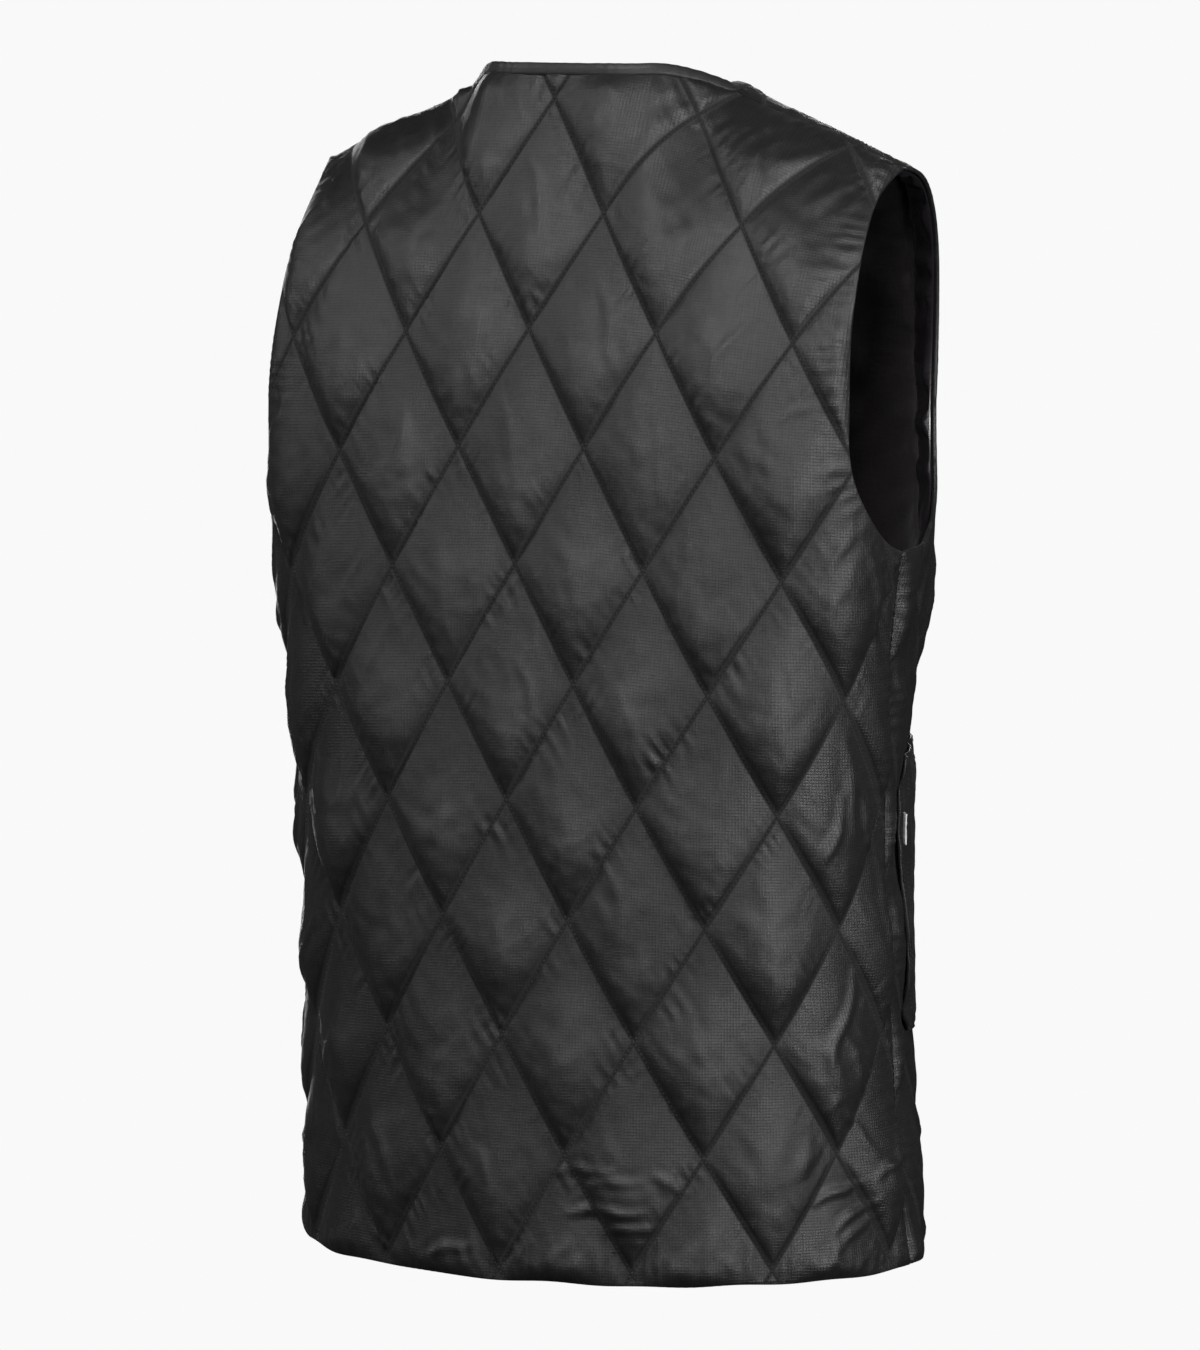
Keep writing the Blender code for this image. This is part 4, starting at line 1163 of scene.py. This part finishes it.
def material(name, colour, rough, spread, sheen, grid=None, weave=0.00007, crumple=0.00007,
             coat=0.0, specular=0.5, shade=0.75, quilt=None):
    """woven cloth with its grid, small creases and uneven shine, with painted shade in the
    quilting lines; quilt is how wide a strip at the middle has no quilting"""
    mat = bpy.data.materials.new(name)
    mat.use_nodes = True
    mat.diffuse_color = (*colour, 1.0)
    t = Tree(mat.node_tree)
    where = t.add("ShaderNodeTexCoord").outputs["Object"]
    folds = t.add("ShaderNodeGroup", {"Depth": crumple, "Vector": where},
                  node_tree=crumple_group())
    height = folds.outputs["Height"]
    darker = folds.outputs["Patch"]
    if grid:
        cloth_map = t.add("ShaderNodeUVMap", uv_map="cloth").outputs[0]
        yarn = t.add("ShaderNodeGroup", {"Grid": grid, "Map": cloth_map},
                     node_tree=weave_group()).outputs
        height = t.math("MULTIPLY_ADD", yarn["Height"], weave, height)
        darker = t.math("MULTIPLY_ADD", yarn["Grid mask"], 0.9,
                        t.math("MULTIPLY", darker, 0.25))
        darker = t.math("MULTIPLY_ADD", yarn["Slub"], 0.55, darker)
    # deep is a painted shade tone: the shell's colour darkened for the shadowed stitch-line
    # valleys
    light, dark, deep = ((*[c * share for c in colour], 1.0)
                         for share in (2.0 - shade, shade, DITCH_PAINTED_SHADE))
    tone = t.add("ShaderNodeMix", {6: light, 7: dark, 0: t.remap(darker, 0.0, 1.4, 0.0, 1.0)},
                 data_type="RGBA").outputs[2]
    gloss = t.remap(darker, 0.0, 1.4, rough - spread, rough + spread)
    if quilt is not None:
        wide, tall = quilt_size()
        ditch_shade_mask = t.add("ShaderNodeGroup", {
            "Wide": wide, "Tall": tall, "Apart": wide * tall / math.hypot(wide, tall),
            "Plain strip": quilt, "Map": cloth_map}, node_tree=ditch_group()).outputs[0]
        # painted shade: near the quilting lines the colour is mixed towards the deep tone,
        # standing for the valleys' shadow; the lines are also rougher
        tone = t.add("ShaderNodeMix", {7: deep, 0: ditch_shade_mask, 6: tone},
                     data_type="RGBA").outputs[2]
        gloss = t.math("MULTIPLY_ADD", ditch_shade_mask, 0.45, gloss)
    bump = t.add("ShaderNodeBump", {"Strength": 1.0, "Distance": 1.0, "Height": height})
    looks = {"Base Color": tone, "Roughness": gloss, "Normal": bump.outputs[0],
             "Sheen Weight": sheen, "Sheen Roughness": 0.45, "Coat Weight": coat,
             "Specular IOR Level": specular}
    for key, value in looks.items():
        t.feed(value, mat.node_tree.nodes["Principled BSDF"].inputs[key])
    return mat


MATS = {}


def finishes():
    """the materials of the vest, made once"""
    if MATS:
        return MATS
    c = bpy.context.scene.vest_colours
    shell = tuple(c.shell)
    satin = {"specular": 0.64, "shade": 0.22, "weave": 0.00012, "crumple": 0.00011}
    MATS["back"] = material("shell_back", shell, 0.43, 0.06, 0.05, 0.0018, quilt=0.0, **satin)
    MATS["front"] = material("shell_front", shell, 0.43, 0.06, 0.05, 0.0018,
                             quilt=PLACKET, **satin)
    MATS["pocket"] = material("pocket_nylon", shell, 0.44, 0.04, 0.08, 0.0019, specular=0.6)
    MATS["binding"] = material("binding_nylon", tuple(x * 1.4 for x in shell), 0.50, 0.05,
                               0.12, 0.0010, 0.00004, 0.00005)
    MATS["facing"] = material("facing_satin", tuple(c.facing), 0.30, 0.04, 0.02, 0.0006,
                              0.00001, 0.00004, coat=0.1, specular=0.6)
    MATS["lining"] = material("lining_cloth", tuple(c.lining), 0.80, 0.05, 0.10, 0.0009,
                              0.00004, 0.0002, specular=0.25)
    MATS["thread"] = material("sewing_thread", tuple(c.thread), 0.60, 0.05, 0.05, specular=0.3)
    MATS["tab"] = material("label_weave", tuple(c.tab), 0.75, 0.05, 0.15, 0.0007,
                           0.00006, 0.0001, shade=0.93)
    MATS["snap"] = material("snap_paint", (0.014, 0.014, 0.015), 0.38, 0.06, 0.0,
                            crumple=0.00001, coat=0.2)
    return MATS


# ---- operators

def padded_panel(node, form, mat):
    """a quilted panel, fine outside and plain inside"""
    cut = cuts()[node]
    relief = reliefs()[node]
    nodes = quilt_nodes(cut, bpy.context.scene.vest_sizes.cells)
    ob = cloth("panel_" + node, form, cut, nodes, square_nodes(cut, 0.014),
               relief, relief.lift, mat)
    settle(ob, "shell_nylon", node)


CUTS = {}
RELIEFS = {}


def cuts():
    """the cut lines of the three panels, made once"""
    if not CUTS:
        CUTS["back"] = Cut(back_edges())
        CUTS["front_left"] = Cut(front_edges(1.0))
        CUTS["front_right"] = Cut(front_edges(-1.0))
    return CUTS


def reliefs():
    """the reliefs of the three panels, made once"""
    if RELIEFS:
        return RELIEFS
    c = cuts()
    right = [(-u0, v0 + 0.006, -u1, v1 + 0.004, width, height)
             for u0, v0, u1, v1, width, height in FRONT_CREASES]
    RELIEFS["back"] = Relief(c["back"], 0.0, BACK_CREASES, 11)
    RELIEFS["front_left"] = Relief(c["front_left"], 1.0, FRONT_CREASES, 23)
    RELIEFS["front_right"] = Relief(c["front_right"], -1.0, right, 37)
    return RELIEFS


class VEST_OT_back(bpy.types.Operator):
    """Quilted back panel"""
    bl_idname = "vest.back"
    bl_label = "Back"

    def execute(self, context):
        padded_panel("back", BACK, finishes()["back"])
        return {"FINISHED"}


class VEST_OT_fronts(bpy.types.Operator):
    """Both quilted front panels"""
    bl_idname = "vest.fronts"
    bl_label = "Fronts"

    def execute(self, context):
        for node in ("front_left", "front_right"):
            padded_panel(node, FRONT, finishes()["front"])
        return {"FINISHED"}


class VEST_OT_lining(bpy.types.Operator):
    """Matte lining inside the panels"""
    bl_idname = "vest.lining"
    bl_label = "Lining"

    def execute(self, context):
        inset = FACING + GAP
        hem = HEM_V - LINING_UP
        rows = [("back", BACK, back_edges(inset, hem, 0.004, 0.005), 61)]
        for tag, way in (("front_left", 1.0), ("front_right", -1.0)):
            rows.append((tag, FRONT, front_edges(way, inset, hem, 0.004, -0.036, 0.005), 71))
        for tag, form, edges, seed in rows:
            cut = Cut(edges)
            outer = inner_side(form)

            def inner(u, v, cut=cut, seed=seed, outer=outer):
                d, at = cut.near(u, v)
                pull = gathers(at * DENSE, d, seed, 0.0090, 0.010)
                deep = 0.0008 * (1.0 + waves(u, v, seed, 0.02, 0.07)) + 0.0010 * (1.0 + pull)
                return outer(u, v) - LINING - np.maximum(deep, 0.0) * ease(d / 0.004)

            ob = cloth("lining_cloth_" + tag, form, cut, square_nodes(cut, 0.012),
                       square_nodes(cut, 0.0042), outer, inner, finishes()["lining"], 0.0)
            settle(ob, "lining_cloth", "lining_" + tag)
        return {"FINISHED"}


def facing_cut(front, way):
    """the cut line of a facing strip and the strip's length"""
    form = FRONT if front else BACK
    step = 0.002
    edge = 0.0012
    tip = [(u, form.top(u) + SEAM) for u in (SHOULDER_TIP_U - FACING, SHOULDER_TIP_U - edge)]
    end = [(side_u(v, front) - SEAM, v) for v in (UNDERARM_V + edge, UNDERARM_V + FACING)]
    outer = through([tip[1]] + armhole_line(front, edge) + [end[0]], step)
    inner = through([tip[0]] + armhole_line(front, FACING) + [end[1]], step)
    edges = [("shoulder", even(tip, step)), ("armhole", outer),
             ("side", even(end, step)), ("neck", inner[::-1])]
    cut = Cut([(tag, line * np.array([way, 1.0])) for tag, line in edges])
    return cut, 0.5 * (len(outer) + len(inner)) * step


class VEST_OT_facings(bpy.types.Operator):
    """Satin strips round the armholes"""
    bl_idname = "vest.facings"
    bl_label = "Armhole facings"

    def execute(self, context):
        for front in (True, False):
            form = FRONT if front else BACK
            outer = inner_side(form)
            for tag, way in (("left", 1.0), ("right", -1.0)):
                cut, long = facing_cut(front, way)
                seed = 81 + front * 7 + int(way)

                def inner(u, v, cut=cut, seed=seed, outer=outer):
                    d = cut.near(u, v)[0]
                    fold = waves(0.10 * u, v, seed, 0.016, 0.036, 24)
                    fine = waves(u, v, seed + 3, 0.014, 0.030)
                    deep = 0.0018 + 0.0011 * fold + 0.0003 * fine
                    return outer(u, v) - LINING - np.maximum(deep, 0.0) * ease(d / 0.003)

                place = "front" if front else "back"
                ob = cloth("facing_strip_%s_%s" % (place, tag), form, cut,
                           square_nodes(cut, 0.006), square_nodes(cut, 0.0018),
                           outer, inner, finishes()["facing"], 0.0)
                settle(ob, "facing_satin", "facing_%s_%s" % (place, tag))
                min(cut.area, FACING * long)
        return {"FINISHED"}


def neck_frames():
    """the worn neck edge with its outward normals, from the right front to the left"""
    neck_end = (NECK_POINT_U - 0.002, BACK.top(NECK_POINT_U) + 0.0004)
    back = through(list(BACK_NECK) + [neck_end], 0.002)
    rows = []
    mid = WALL * 0.5
    for way in (-1.0, 1.0):
        start = -LAP if way > 0.0 else LAP + 10.0 * GAP
        level = np.interp(start, [p[0] for p in FRONT_NECK], [p[1] for p in FRONT_NECK])
        line = [(start, level)] + list(FRONT_NECK)[1 if way < 0.0 else 0:]
        line = through(line + [(NECK_POINT_U, FRONT.top(NECK_POINT_U) + 0.004)], 0.002)
        lift = lap_lift(line[:, 0], way)
        half = [(FRONT, way * u, v, mid + h) for (u, v), h in zip(line, lift)]
        half += [(BACK, way * u, v, mid) for u, v in back[::-1]]
        rows += half if way < 0.0 else half[-2::-1]
    edge = np.array([form.place(u, v, w) for form, u, v, w in rows])
    nor = np.array([form.place(u, v, w + 0.001) for form, u, v, w in rows]) - edge
    both = even(np.concatenate([edge, nor * 1e-6], axis=1), BIND_STEP)
    edge = both[:, :3]
    nor = both[:, 3:] * 1e9
    for lap in range(30):
        nor[1:-1] = (nor[:-2] + nor[1:-1] + nor[2:]) / 3.0
        if lap < 16:
            edge[1:-1] = (edge[:-2] + 2.0 * edge[1:-1] + edge[2:]) * 0.25
    run = np.gradient(edge, axis=0)
    run /= np.linalg.norm(run, axis=1)[:, None]
    nor -= (nor * run).sum(1)[:, None] * run
    nor /= np.linalg.norm(nor, axis=1)[:, None]
    away = np.cross(nor, run)
    if away[len(away) // 2, 2] < 0.0:
        away = -away
    return edge, nor, away


class VEST_OT_binding(bpy.types.Operator):
    """Folded band round the neck edge"""
    bl_idname = "vest.binding"
    bl_label = "Neck binding"

    def execute(self, context):
        tall = context.scene.vest_sizes.bind_tall
        edge, nor, away = neck_frames()
        n = len(edge)
        s = np.arange(n) * BIND_STEP
        turns = np.linspace(0.0, 2.0 * math.pi, 25)[:-1]
        m = len(turns)
        rings = []
        flat = []
        for k, turn in enumerate(turns):
            c = math.cos(turn)
            q = math.sin(turn)
            x = math.copysign(abs(c) ** 0.5, c) * BIND_THICK * 0.5
            y = math.copysign(abs(q) ** 0.55, q) * tall * 0.5 + tall * 0.5 - BIND_LOW
            flare = 0.00028 * gathers(s, 0.004 + 0 * s, 3.0 + (c > 0.0), 0.0085, 0.004)
            flare = flare * (0.35 + 0.65 * abs(q)) + 0.00012 * np.sin(s * 90.0 + c)
            rings.append(edge + nor * (x + flare * np.sign(c + 1e-6))[:, None] + away * y)
            flat.append(np.stack([s, 0 * s - k * (2.0 * (tall + BIND_THICK)) / m], -1))
        spots = np.stack(rings, 1).reshape(-1, 3)
        ends = [tuple(range(m)), tuple(range((n - 1) * m, n * m))[::-1]]
        ob = piece("binding_band", spots, ring_faces(n, m) + ends, finishes()["binding"],
                   np.stack(flat, 1).reshape(-1, 2))
        settle(ob, "binding_nylon", "neck_binding")
        return {"FINISHED"}


def pocket_edges(way):
    """the edge of a patch pocket, rounded at three corners"""
    c = POCKET_CORNER

    def corner(cu, cv, su, sv):
        arc = [math.radians(a) for a in range(0, 91, 15)]
        return [(cu + su * c * math.sin(a), cv + sv * c * math.cos(a)) for a in arc]

    top = corner(POCKET_IN_U + c, POCKET_TOP_V + c, -1.0, -1.0)[::-1]
    out_low = corner(POCKET_OUT_U - c, POCKET_LOW_V - c, 1.0, 1.0)[::-1]
    in_low = corner(POCKET_IN_U + c, POCKET_LOW_V - c, -1.0, 1.0)
    pts = top + [(POCKET_OUT_U, POCKET_TOP_V + 0.004)] + out_low + in_low + top[:1]
    return [("hem", even(pts, EDGE_STEP) * np.array([way, 1.0]))]


def pocket_under(way):
    """how high the underside of a pocket lies over the front"""

    def inner(u, v):
        side = way * u
        reach = ease((side - (POCKET_OUT_U - 0.060)) / 0.060)
        span = (v - POCKET_TOP_V) / (POCKET_LOW_V - POCKET_TOP_V)
        belly = np.sin(math.pi * np.clip(span, 0.0, 1.0)) ** 0.7
        dome = quilt_dome(u, v)
        dome = dome + (0.85 + 0.15 * dome - dome) * pocket_cover(u, v)
        calm = 1.0 - 0.20 * ease((side - 0.165) / 0.030)
        high = WALL + 0.0064 * dome * calm + 2.0 * GAP + POCKET_OPEN * reach * belly
        return high + dent(u, v)

    return inner


class VEST_OT_pockets(bpy.types.Operator):
    """Patch pockets and the bare tab beside the right one"""
    bl_idname = "vest.pockets"
    bl_label = "Pockets and tab"

    def execute(self, context):
        for tag, way in (("left", 1.0), ("right", -1.0)):
            cut = Cut(pocket_edges(way))
            under = pocket_under(way)

            def outer(u, v, cut=cut, under=under, way=way):
                d, at = cut.near(u, v)
                seam = sum(np.exp(-((d - row) / 0.0008) ** 2) for row in PATCH_SEAMS)
                far = np.abs(d - PATCH_SEAMS[1])
                pull = gathers(at * DENSE, far, 5.0 + way, 0.008, 0.004)
                wave = 0.0003 * waves(u, v, 91 + int(way), 0.012, 0.04)
                return under(u, v) + POCKET_THICK - 0.0005 * seam + 0.0002 * pull + wave

            ob = cloth("pocket_patch_" + tag, FRONT, cut, square_nodes(cut, 0.0019),
                       square_nodes(cut, 0.006), outer, under, finishes()["pocket"])
            settle(ob, "pocket_nylon", "pocket_" + tag)
        u0 = -LABEL_U
        u1 = -(LABEL_U + LABEL_WIDE)
        pts = [(u1, LABEL_V), (u0, LABEL_V), (u0, LABEL_V + LABEL_TALL),
               (u1, LABEL_V + LABEL_TALL), (u1, LABEL_V)]
        cut = Cut([("hem", even(pts, 0.0009))])

        def inner(u, v):
            free = ease((np.abs(u) - LABEL_U) / LABEL_WIDE)
            return WALL + 0.0062 + 0.0012 * free + dent(u, v)

        def outer(u, v):
            return inner(u, v) + LABEL_THICK + 0.00010 * waves(u, v, 5, 0.004, 0.012)

        ob = cloth("tab_woven", FRONT, cut, square_nodes(cut, 0.0009),
                   square_nodes(cut, 0.003), outer, inner, finishes()["tab"], 0.0002)
        settle(ob, "label_weave", "label_tab")
        return {"FINISHED"}


class VEST_OT_snaps(bpy.types.Operator):
    """Painted caps of the press fasteners"""
    bl_idname = "vest.snaps"
    bl_label = "Snaps"

    def execute(self, context):
        radius = context.scene.vest_sizes.snap_radius
        lift = LAP_LIFT + WALL + 2.0 * GAP
        rings = len(SNAP_PROFILE) - 2
        low = rings * SNAP_SIDES
        last = low - SNAP_SIDES
        faces = ring_faces(rings, SNAP_SIDES)
        for k in range(SNAP_SIDES):
            after = (k + 1) % SNAP_SIDES
            faces.append((low, after, k))
            faces.append((low + 1, last + k, last + after))
        for number, v in enumerate(SNAP_V, 1):
            centre, above = FRONT.place(
                np.zeros(2), np.full(2, v), np.array([lift, lift + 0.001]))
            out = above - centre
            out /= np.linalg.norm(out)
            side = np.array([1.0, 0.0, 0.0])
            side -= out * side.dot(out)
            side /= np.linalg.norm(side)
            up = np.cross(out, side)
            spots = []
            for share, tall in SNAP_PROFILE[1:-1]:
                for k in range(SNAP_SIDES):
                    a = 2.0 * math.pi * k / SNAP_SIDES
                    spots.append(centre + out * tall + (side * math.cos(a) + up * math.sin(a))
                                 * radius * share)
            spots += [centre + out * SNAP_PROFILE[k][1] for k in (0, -1)]
            ob = piece("snap_cap_%d" % number, spots, faces, finishes()["snap"])
            settle(ob, "snap_metal", "snap_%d" % number)
        return {"FINISHED"}


def stitch_tree(mat):
    """stitches along the edges of a line mesh"""
    tree = bpy.data.node_groups.new("thread_stitches", "GeometryNodeTree")
    face = tree.interface
    face.new_socket("Lines", in_out="INPUT", socket_type="NodeSocketGeometry")
    for label, value in (("Pitch", 0.003), ("Length", 0.0022), ("Thickness", 0.0004)):
        socket = face.new_socket(label, in_out="INPUT", socket_type="NodeSocketFloat")
        socket.default_value = value
    face.new_socket("Seed", in_out="INPUT", socket_type="NodeSocketInt").default_value = 3
    face.new_socket("Stitches", in_out="OUTPUT", socket_type="NodeSocketGeometry")
    t = Tree(tree)
    src = t.add("NodeGroupInput").outputs
    curve = t.add("GeometryNodeMeshToCurve", {"Mesh": src["Lines"]})
    steps = t.add("GeometryNodeResampleCurve",
                  {"Curve": curve.outputs[0], "Length": src["Pitch"]}, mode="LENGTH")
    tangent = t.add("GeometryNodeInputTangent")
    turn = t.add("FunctionNodeAlignRotationToVector", {"Vector": tangent.outputs[0]}, axis="X")
    ball = t.add("GeometryNodeMeshIcoSphere", {"Radius": 0.5, "Subdivisions": 1})
    size = t.add("ShaderNodeCombineXYZ",
                 {0: src["Length"], 1: src["Thickness"], 2: src["Thickness"]})
    vary = t.add("FunctionNodeRandomValue", {2: 0.85, 3: 1.12, "Seed": src["Seed"]},
                 data_type="FLOAT")
    scale = t.add("ShaderNodeVectorMath", {0: size.outputs[0], "Scale": vary.outputs[1]},
                  operation="SCALE")
    put = t.add("GeometryNodeInstanceOnPoints", {
        "Points": steps.outputs[0], "Instance": ball.outputs[0],
        "Rotation": turn.outputs[0], "Scale": scale.outputs[0]})
    real = t.add("GeometryNodeRealizeInstances", {0: put.outputs[0]})
    dyed = t.add("GeometryNodeSetMaterial", {"Geometry": real.outputs[0], "Material": mat})
    t.add("NodeGroupOutput", {"Stitches": dyed.outputs[0]})
    return tree


def sew(name, lines, tree, mat):
    """stitches along lines of worn places, as one plain mesh"""
    sizes = bpy.context.scene.vest_sizes
    spots = []
    edges = []
    for line in lines:
        first = len(spots)
        spots += [tuple(p) for p in line]
        edges += [(k, k + 1) for k in range(first, len(spots) - 1)]
    mesh = bpy.data.meshes.new(name)
    mesh.from_pydata(spots, edges, [])
    ob = bpy.data.objects.new(name, mesh)
    bpy.context.scene.collection.objects.link(ob)
    mod = ob.modifiers.new("stitches", "NODES")
    mod.node_group = tree
    values = {"Pitch": sizes.stitch_pitch, "Length": sizes.stitch_pitch * 0.70,
              "Thickness": sizes.stitch_thick}
    for item in tree.interface.items_tree:
        if item.in_out == "INPUT" and item.name in values:
            mod[item.identifier] = values[item.name]
    bpy.context.view_layer.update()
    seen = ob.evaluated_get(bpy.context.evaluated_depsgraph_get())
    done = bpy.data.meshes.new_from_object(seen)
    done.name = name
    ob.modifiers.clear()
    ob.data = done
    done.materials.clear()
    done.materials.append(mat)
    done.polygons.foreach_set("use_smooth", [True] * len(done.polygons))
    settle(ob, "shell_nylon")


def split_runs(keep):
    """start and end of each run of kept samples"""
    marks = np.flatnonzero(np.diff(np.concatenate([[0], keep.astype(int), [0]])))
    return [(a, b) for a, b in zip(marks[::2], marks[1::2]) if b - a > 3]


def quilt_lines(cut, form, relief, skip=None):
    """the quilting lines of a panel as lines of worn places"""
    least, most = lattice_span(cut)
    lines = []
    for family in (0, 1):
        low = least[1 - family]
        high = most[1 - family]
        along = np.linspace(low, high, int((high - low) * 60))
        for k in range(math.ceil(least[family]), math.floor(most[family]) + 1):
            a = along * 0.0 + k
            u, v = unlattice(a, along) if family == 0 else unlattice(along, a)
            keep = cut.holds(u, v) & (cut.near(u, v)[0] > 0.0015)
            if skip is not None:
                keep &= ~skip(u, v)
            for i, j in split_runs(keep):
                x = u[i:j]
                y = v[i:j]
                lines.append(form.place(x, y, relief(x, y) + THREAD_LIFT))
    return lines


def moved_in(cut, inset):
    """the cut line moved inwards"""
    line = cut.dense
    turn = np.roll(line, -3, 0) - np.roll(line, 3, 0)
    inward = np.stack([-turn[:, 1], turn[:, 0]], -1)
    inward /= np.linalg.norm(inward, axis=1)[:, None]
    inward *= np.sign(((line.mean(0) - line) * inward).sum(1).mean())
    return line + inward * inset


class VEST_OT_stitches(bpy.types.Operator):
    """Sewing thread along the quilting and the pocket edges"""
    bl_idname = "vest.stitches"
    bl_label = "Stitches"

    def execute(self, context):
        mat = finishes()["thread"]
        tree = stitch_tree(mat)
        made = reliefs()
        sew("stitches_back", quilt_lines(cuts()["back"], BACK, made["back"]), tree, mat)
        for tag, way in (("left", 1.0), ("right", -1.0)):

            def skip(u, v, way=way):
                side = way * u
                pocket = (side > POCKET_IN_U) & (side < POCKET_OUT_U)
                pocket &= (v > POCKET_TOP_V) & (v < POCKET_LOW_V)
                return pocket | (side < PLACKET)

            name = "front_" + tag
            cut = cuts()[name]
            relief = made[name]
            lines = quilt_lines(cut, FRONT, relief, skip)
            for u in (-LAP + 0.0025, PLACKET):
                v = np.linspace(0.078, HEM_V - 0.003, 400)
                x = way * u + 0.0 * v
                lines.append(FRONT.place(x, v, relief(x, v) + THREAD_LIFT))
            patch = Cut(pocket_edges(way))
            under = pocket_under(way)
            for inset in PATCH_SEAMS:
                x, y = moved_in(patch, inset).T
                edge = FRONT.place(x, y, under(x, y) + POCKET_THICK - 0.0003)
                lines.append(np.concatenate([edge, edge[:1]]))
            sew("stitches_front_" + tag, lines, tree, mat)
        return {"FINISHED"}


class VEST_OT_stage(bpy.types.Operator):
    """Pale floor under a pale sky, soft lights and the camera"""
    bl_idname = "vest.stage"
    bl_label = "Stage"

    @staticmethod
    def glow(tree, socket):
        """full strength where it is seen, little light from it on the vest"""
        t = Tree(tree)
        path = t.add("ShaderNodeLightPath")
        t.feed(t.remap(path.outputs["Is Camera Ray"], 0.0, 1.0, SPILL, 1.0), socket)

    @staticmethod
    def stand(name, data, place, aim):
        """a lamp or camera that looks from its place at its aim"""
        ob = bpy.data.objects.new(name, data)
        ob.location = place
        way = Vector(aim) - Vector(place)
        ob.rotation_euler = way.to_track_quat("-Z", "Y").to_euler()
        bpy.context.scene.collection.objects.link(ob)
        return ob

    def execute(self, context):
        scene = context.scene
        tone = (*scene.vest_colours.backdrop, 1.0)
        turns = np.linspace(0.0, 2.0 * math.pi, 65)[:-1]
        spots = [(FLOOR_REACH * math.cos(a), FLOOR_REACH * math.sin(a), FLOOR_Z)
                 for a in turns]
        mesh = bpy.data.meshes.new("studio_floor")
        mesh.from_pydata(spots, [], [tuple(range(len(spots)))])
        mat = bpy.data.materials.new("studio_paper")
        mat.use_nodes = True
        shader = mat.node_tree.nodes["Principled BSDF"]
        looks = {"Base Color": (0.0, 0.0, 0.0, 1.0), "Roughness": 1.0,
                 "Specular IOR Level": 0.0, "Emission Color": tone}
        for key, value in looks.items():
            shader.inputs[key].default_value = value
        self.glow(mat.node_tree, shader.inputs["Emission Strength"])
        mesh.materials.append(mat)
        floor = bpy.data.objects.new("studio_floor", mesh)
        scene.collection.objects.link(floor)

        world = bpy.data.worlds.new("studio_air")
        world.use_nodes = True
        air = world.node_tree.nodes["Background"]
        air.inputs["Color"].default_value = tone
        self.glow(world.node_tree, air.inputs["Strength"])
        scene.world = world

        for name, place, size, watts in LAMPS:
            light = bpy.data.lights.new("softbox_" + name, "AREA")
            light.size = size
            light.energy = watts
            self.stand("softbox_" + name, light, place, LAMP_AIM).visible_camera = False

        lens = bpy.data.cameras.new("camera")
        lens.lens = CAMERA_LENS
        lens.sensor_width = 36.0
        lens.clip_start = 0.1
        lens.clip_end = 60.0
        scene.camera = self.stand("camera", lens, CAMERA_PLACE, CAMERA_AIM)
        scene.view_settings.view_transform = "Standard"
        return {"FINISHED"}


class VEST_PT_panel(bpy.types.Panel):
    """The vest's sizes, colours and pieces"""
    bl_label = "Quilted vest"
    bl_idname = "VEST_PT_panel"
    bl_space_type = "VIEW_3D"
    bl_region_type = "UI"
    bl_category = "Vest"

    def draw(self, context):
        for holder in (context.scene.vest_sizes, context.scene.vest_colours):
            for key in holder.__annotations__:
                self.layout.prop(holder, key)
        for step in STEPS:
            self.layout.operator(step.bl_idname)


STEPS = (VEST_OT_back, VEST_OT_fronts, VEST_OT_lining, VEST_OT_facings, VEST_OT_binding,
         VEST_OT_pockets, VEST_OT_snaps, VEST_OT_stitches, VEST_OT_stage)
CLASSES = (VestSizes, VestColours) + STEPS + (VEST_PT_panel,)


def register():
    for cls in CLASSES:
        bpy.utils.register_class(cls)
    bpy.types.Scene.vest_sizes = bpy.props.PointerProperty(type=VestSizes)
    bpy.types.Scene.vest_colours = bpy.props.PointerProperty(type=VestColours)


def unregister():
    del bpy.types.Scene.vest_colours
    del bpy.types.Scene.vest_sizes
    for cls in reversed(CLASSES):
        bpy.utils.unregister_class(cls)


def main():
    register()
    for step in STEPS:
        getattr(bpy.ops.vest, step.bl_idname.split(".")[1])()


if __name__ == "__main__":
    main()
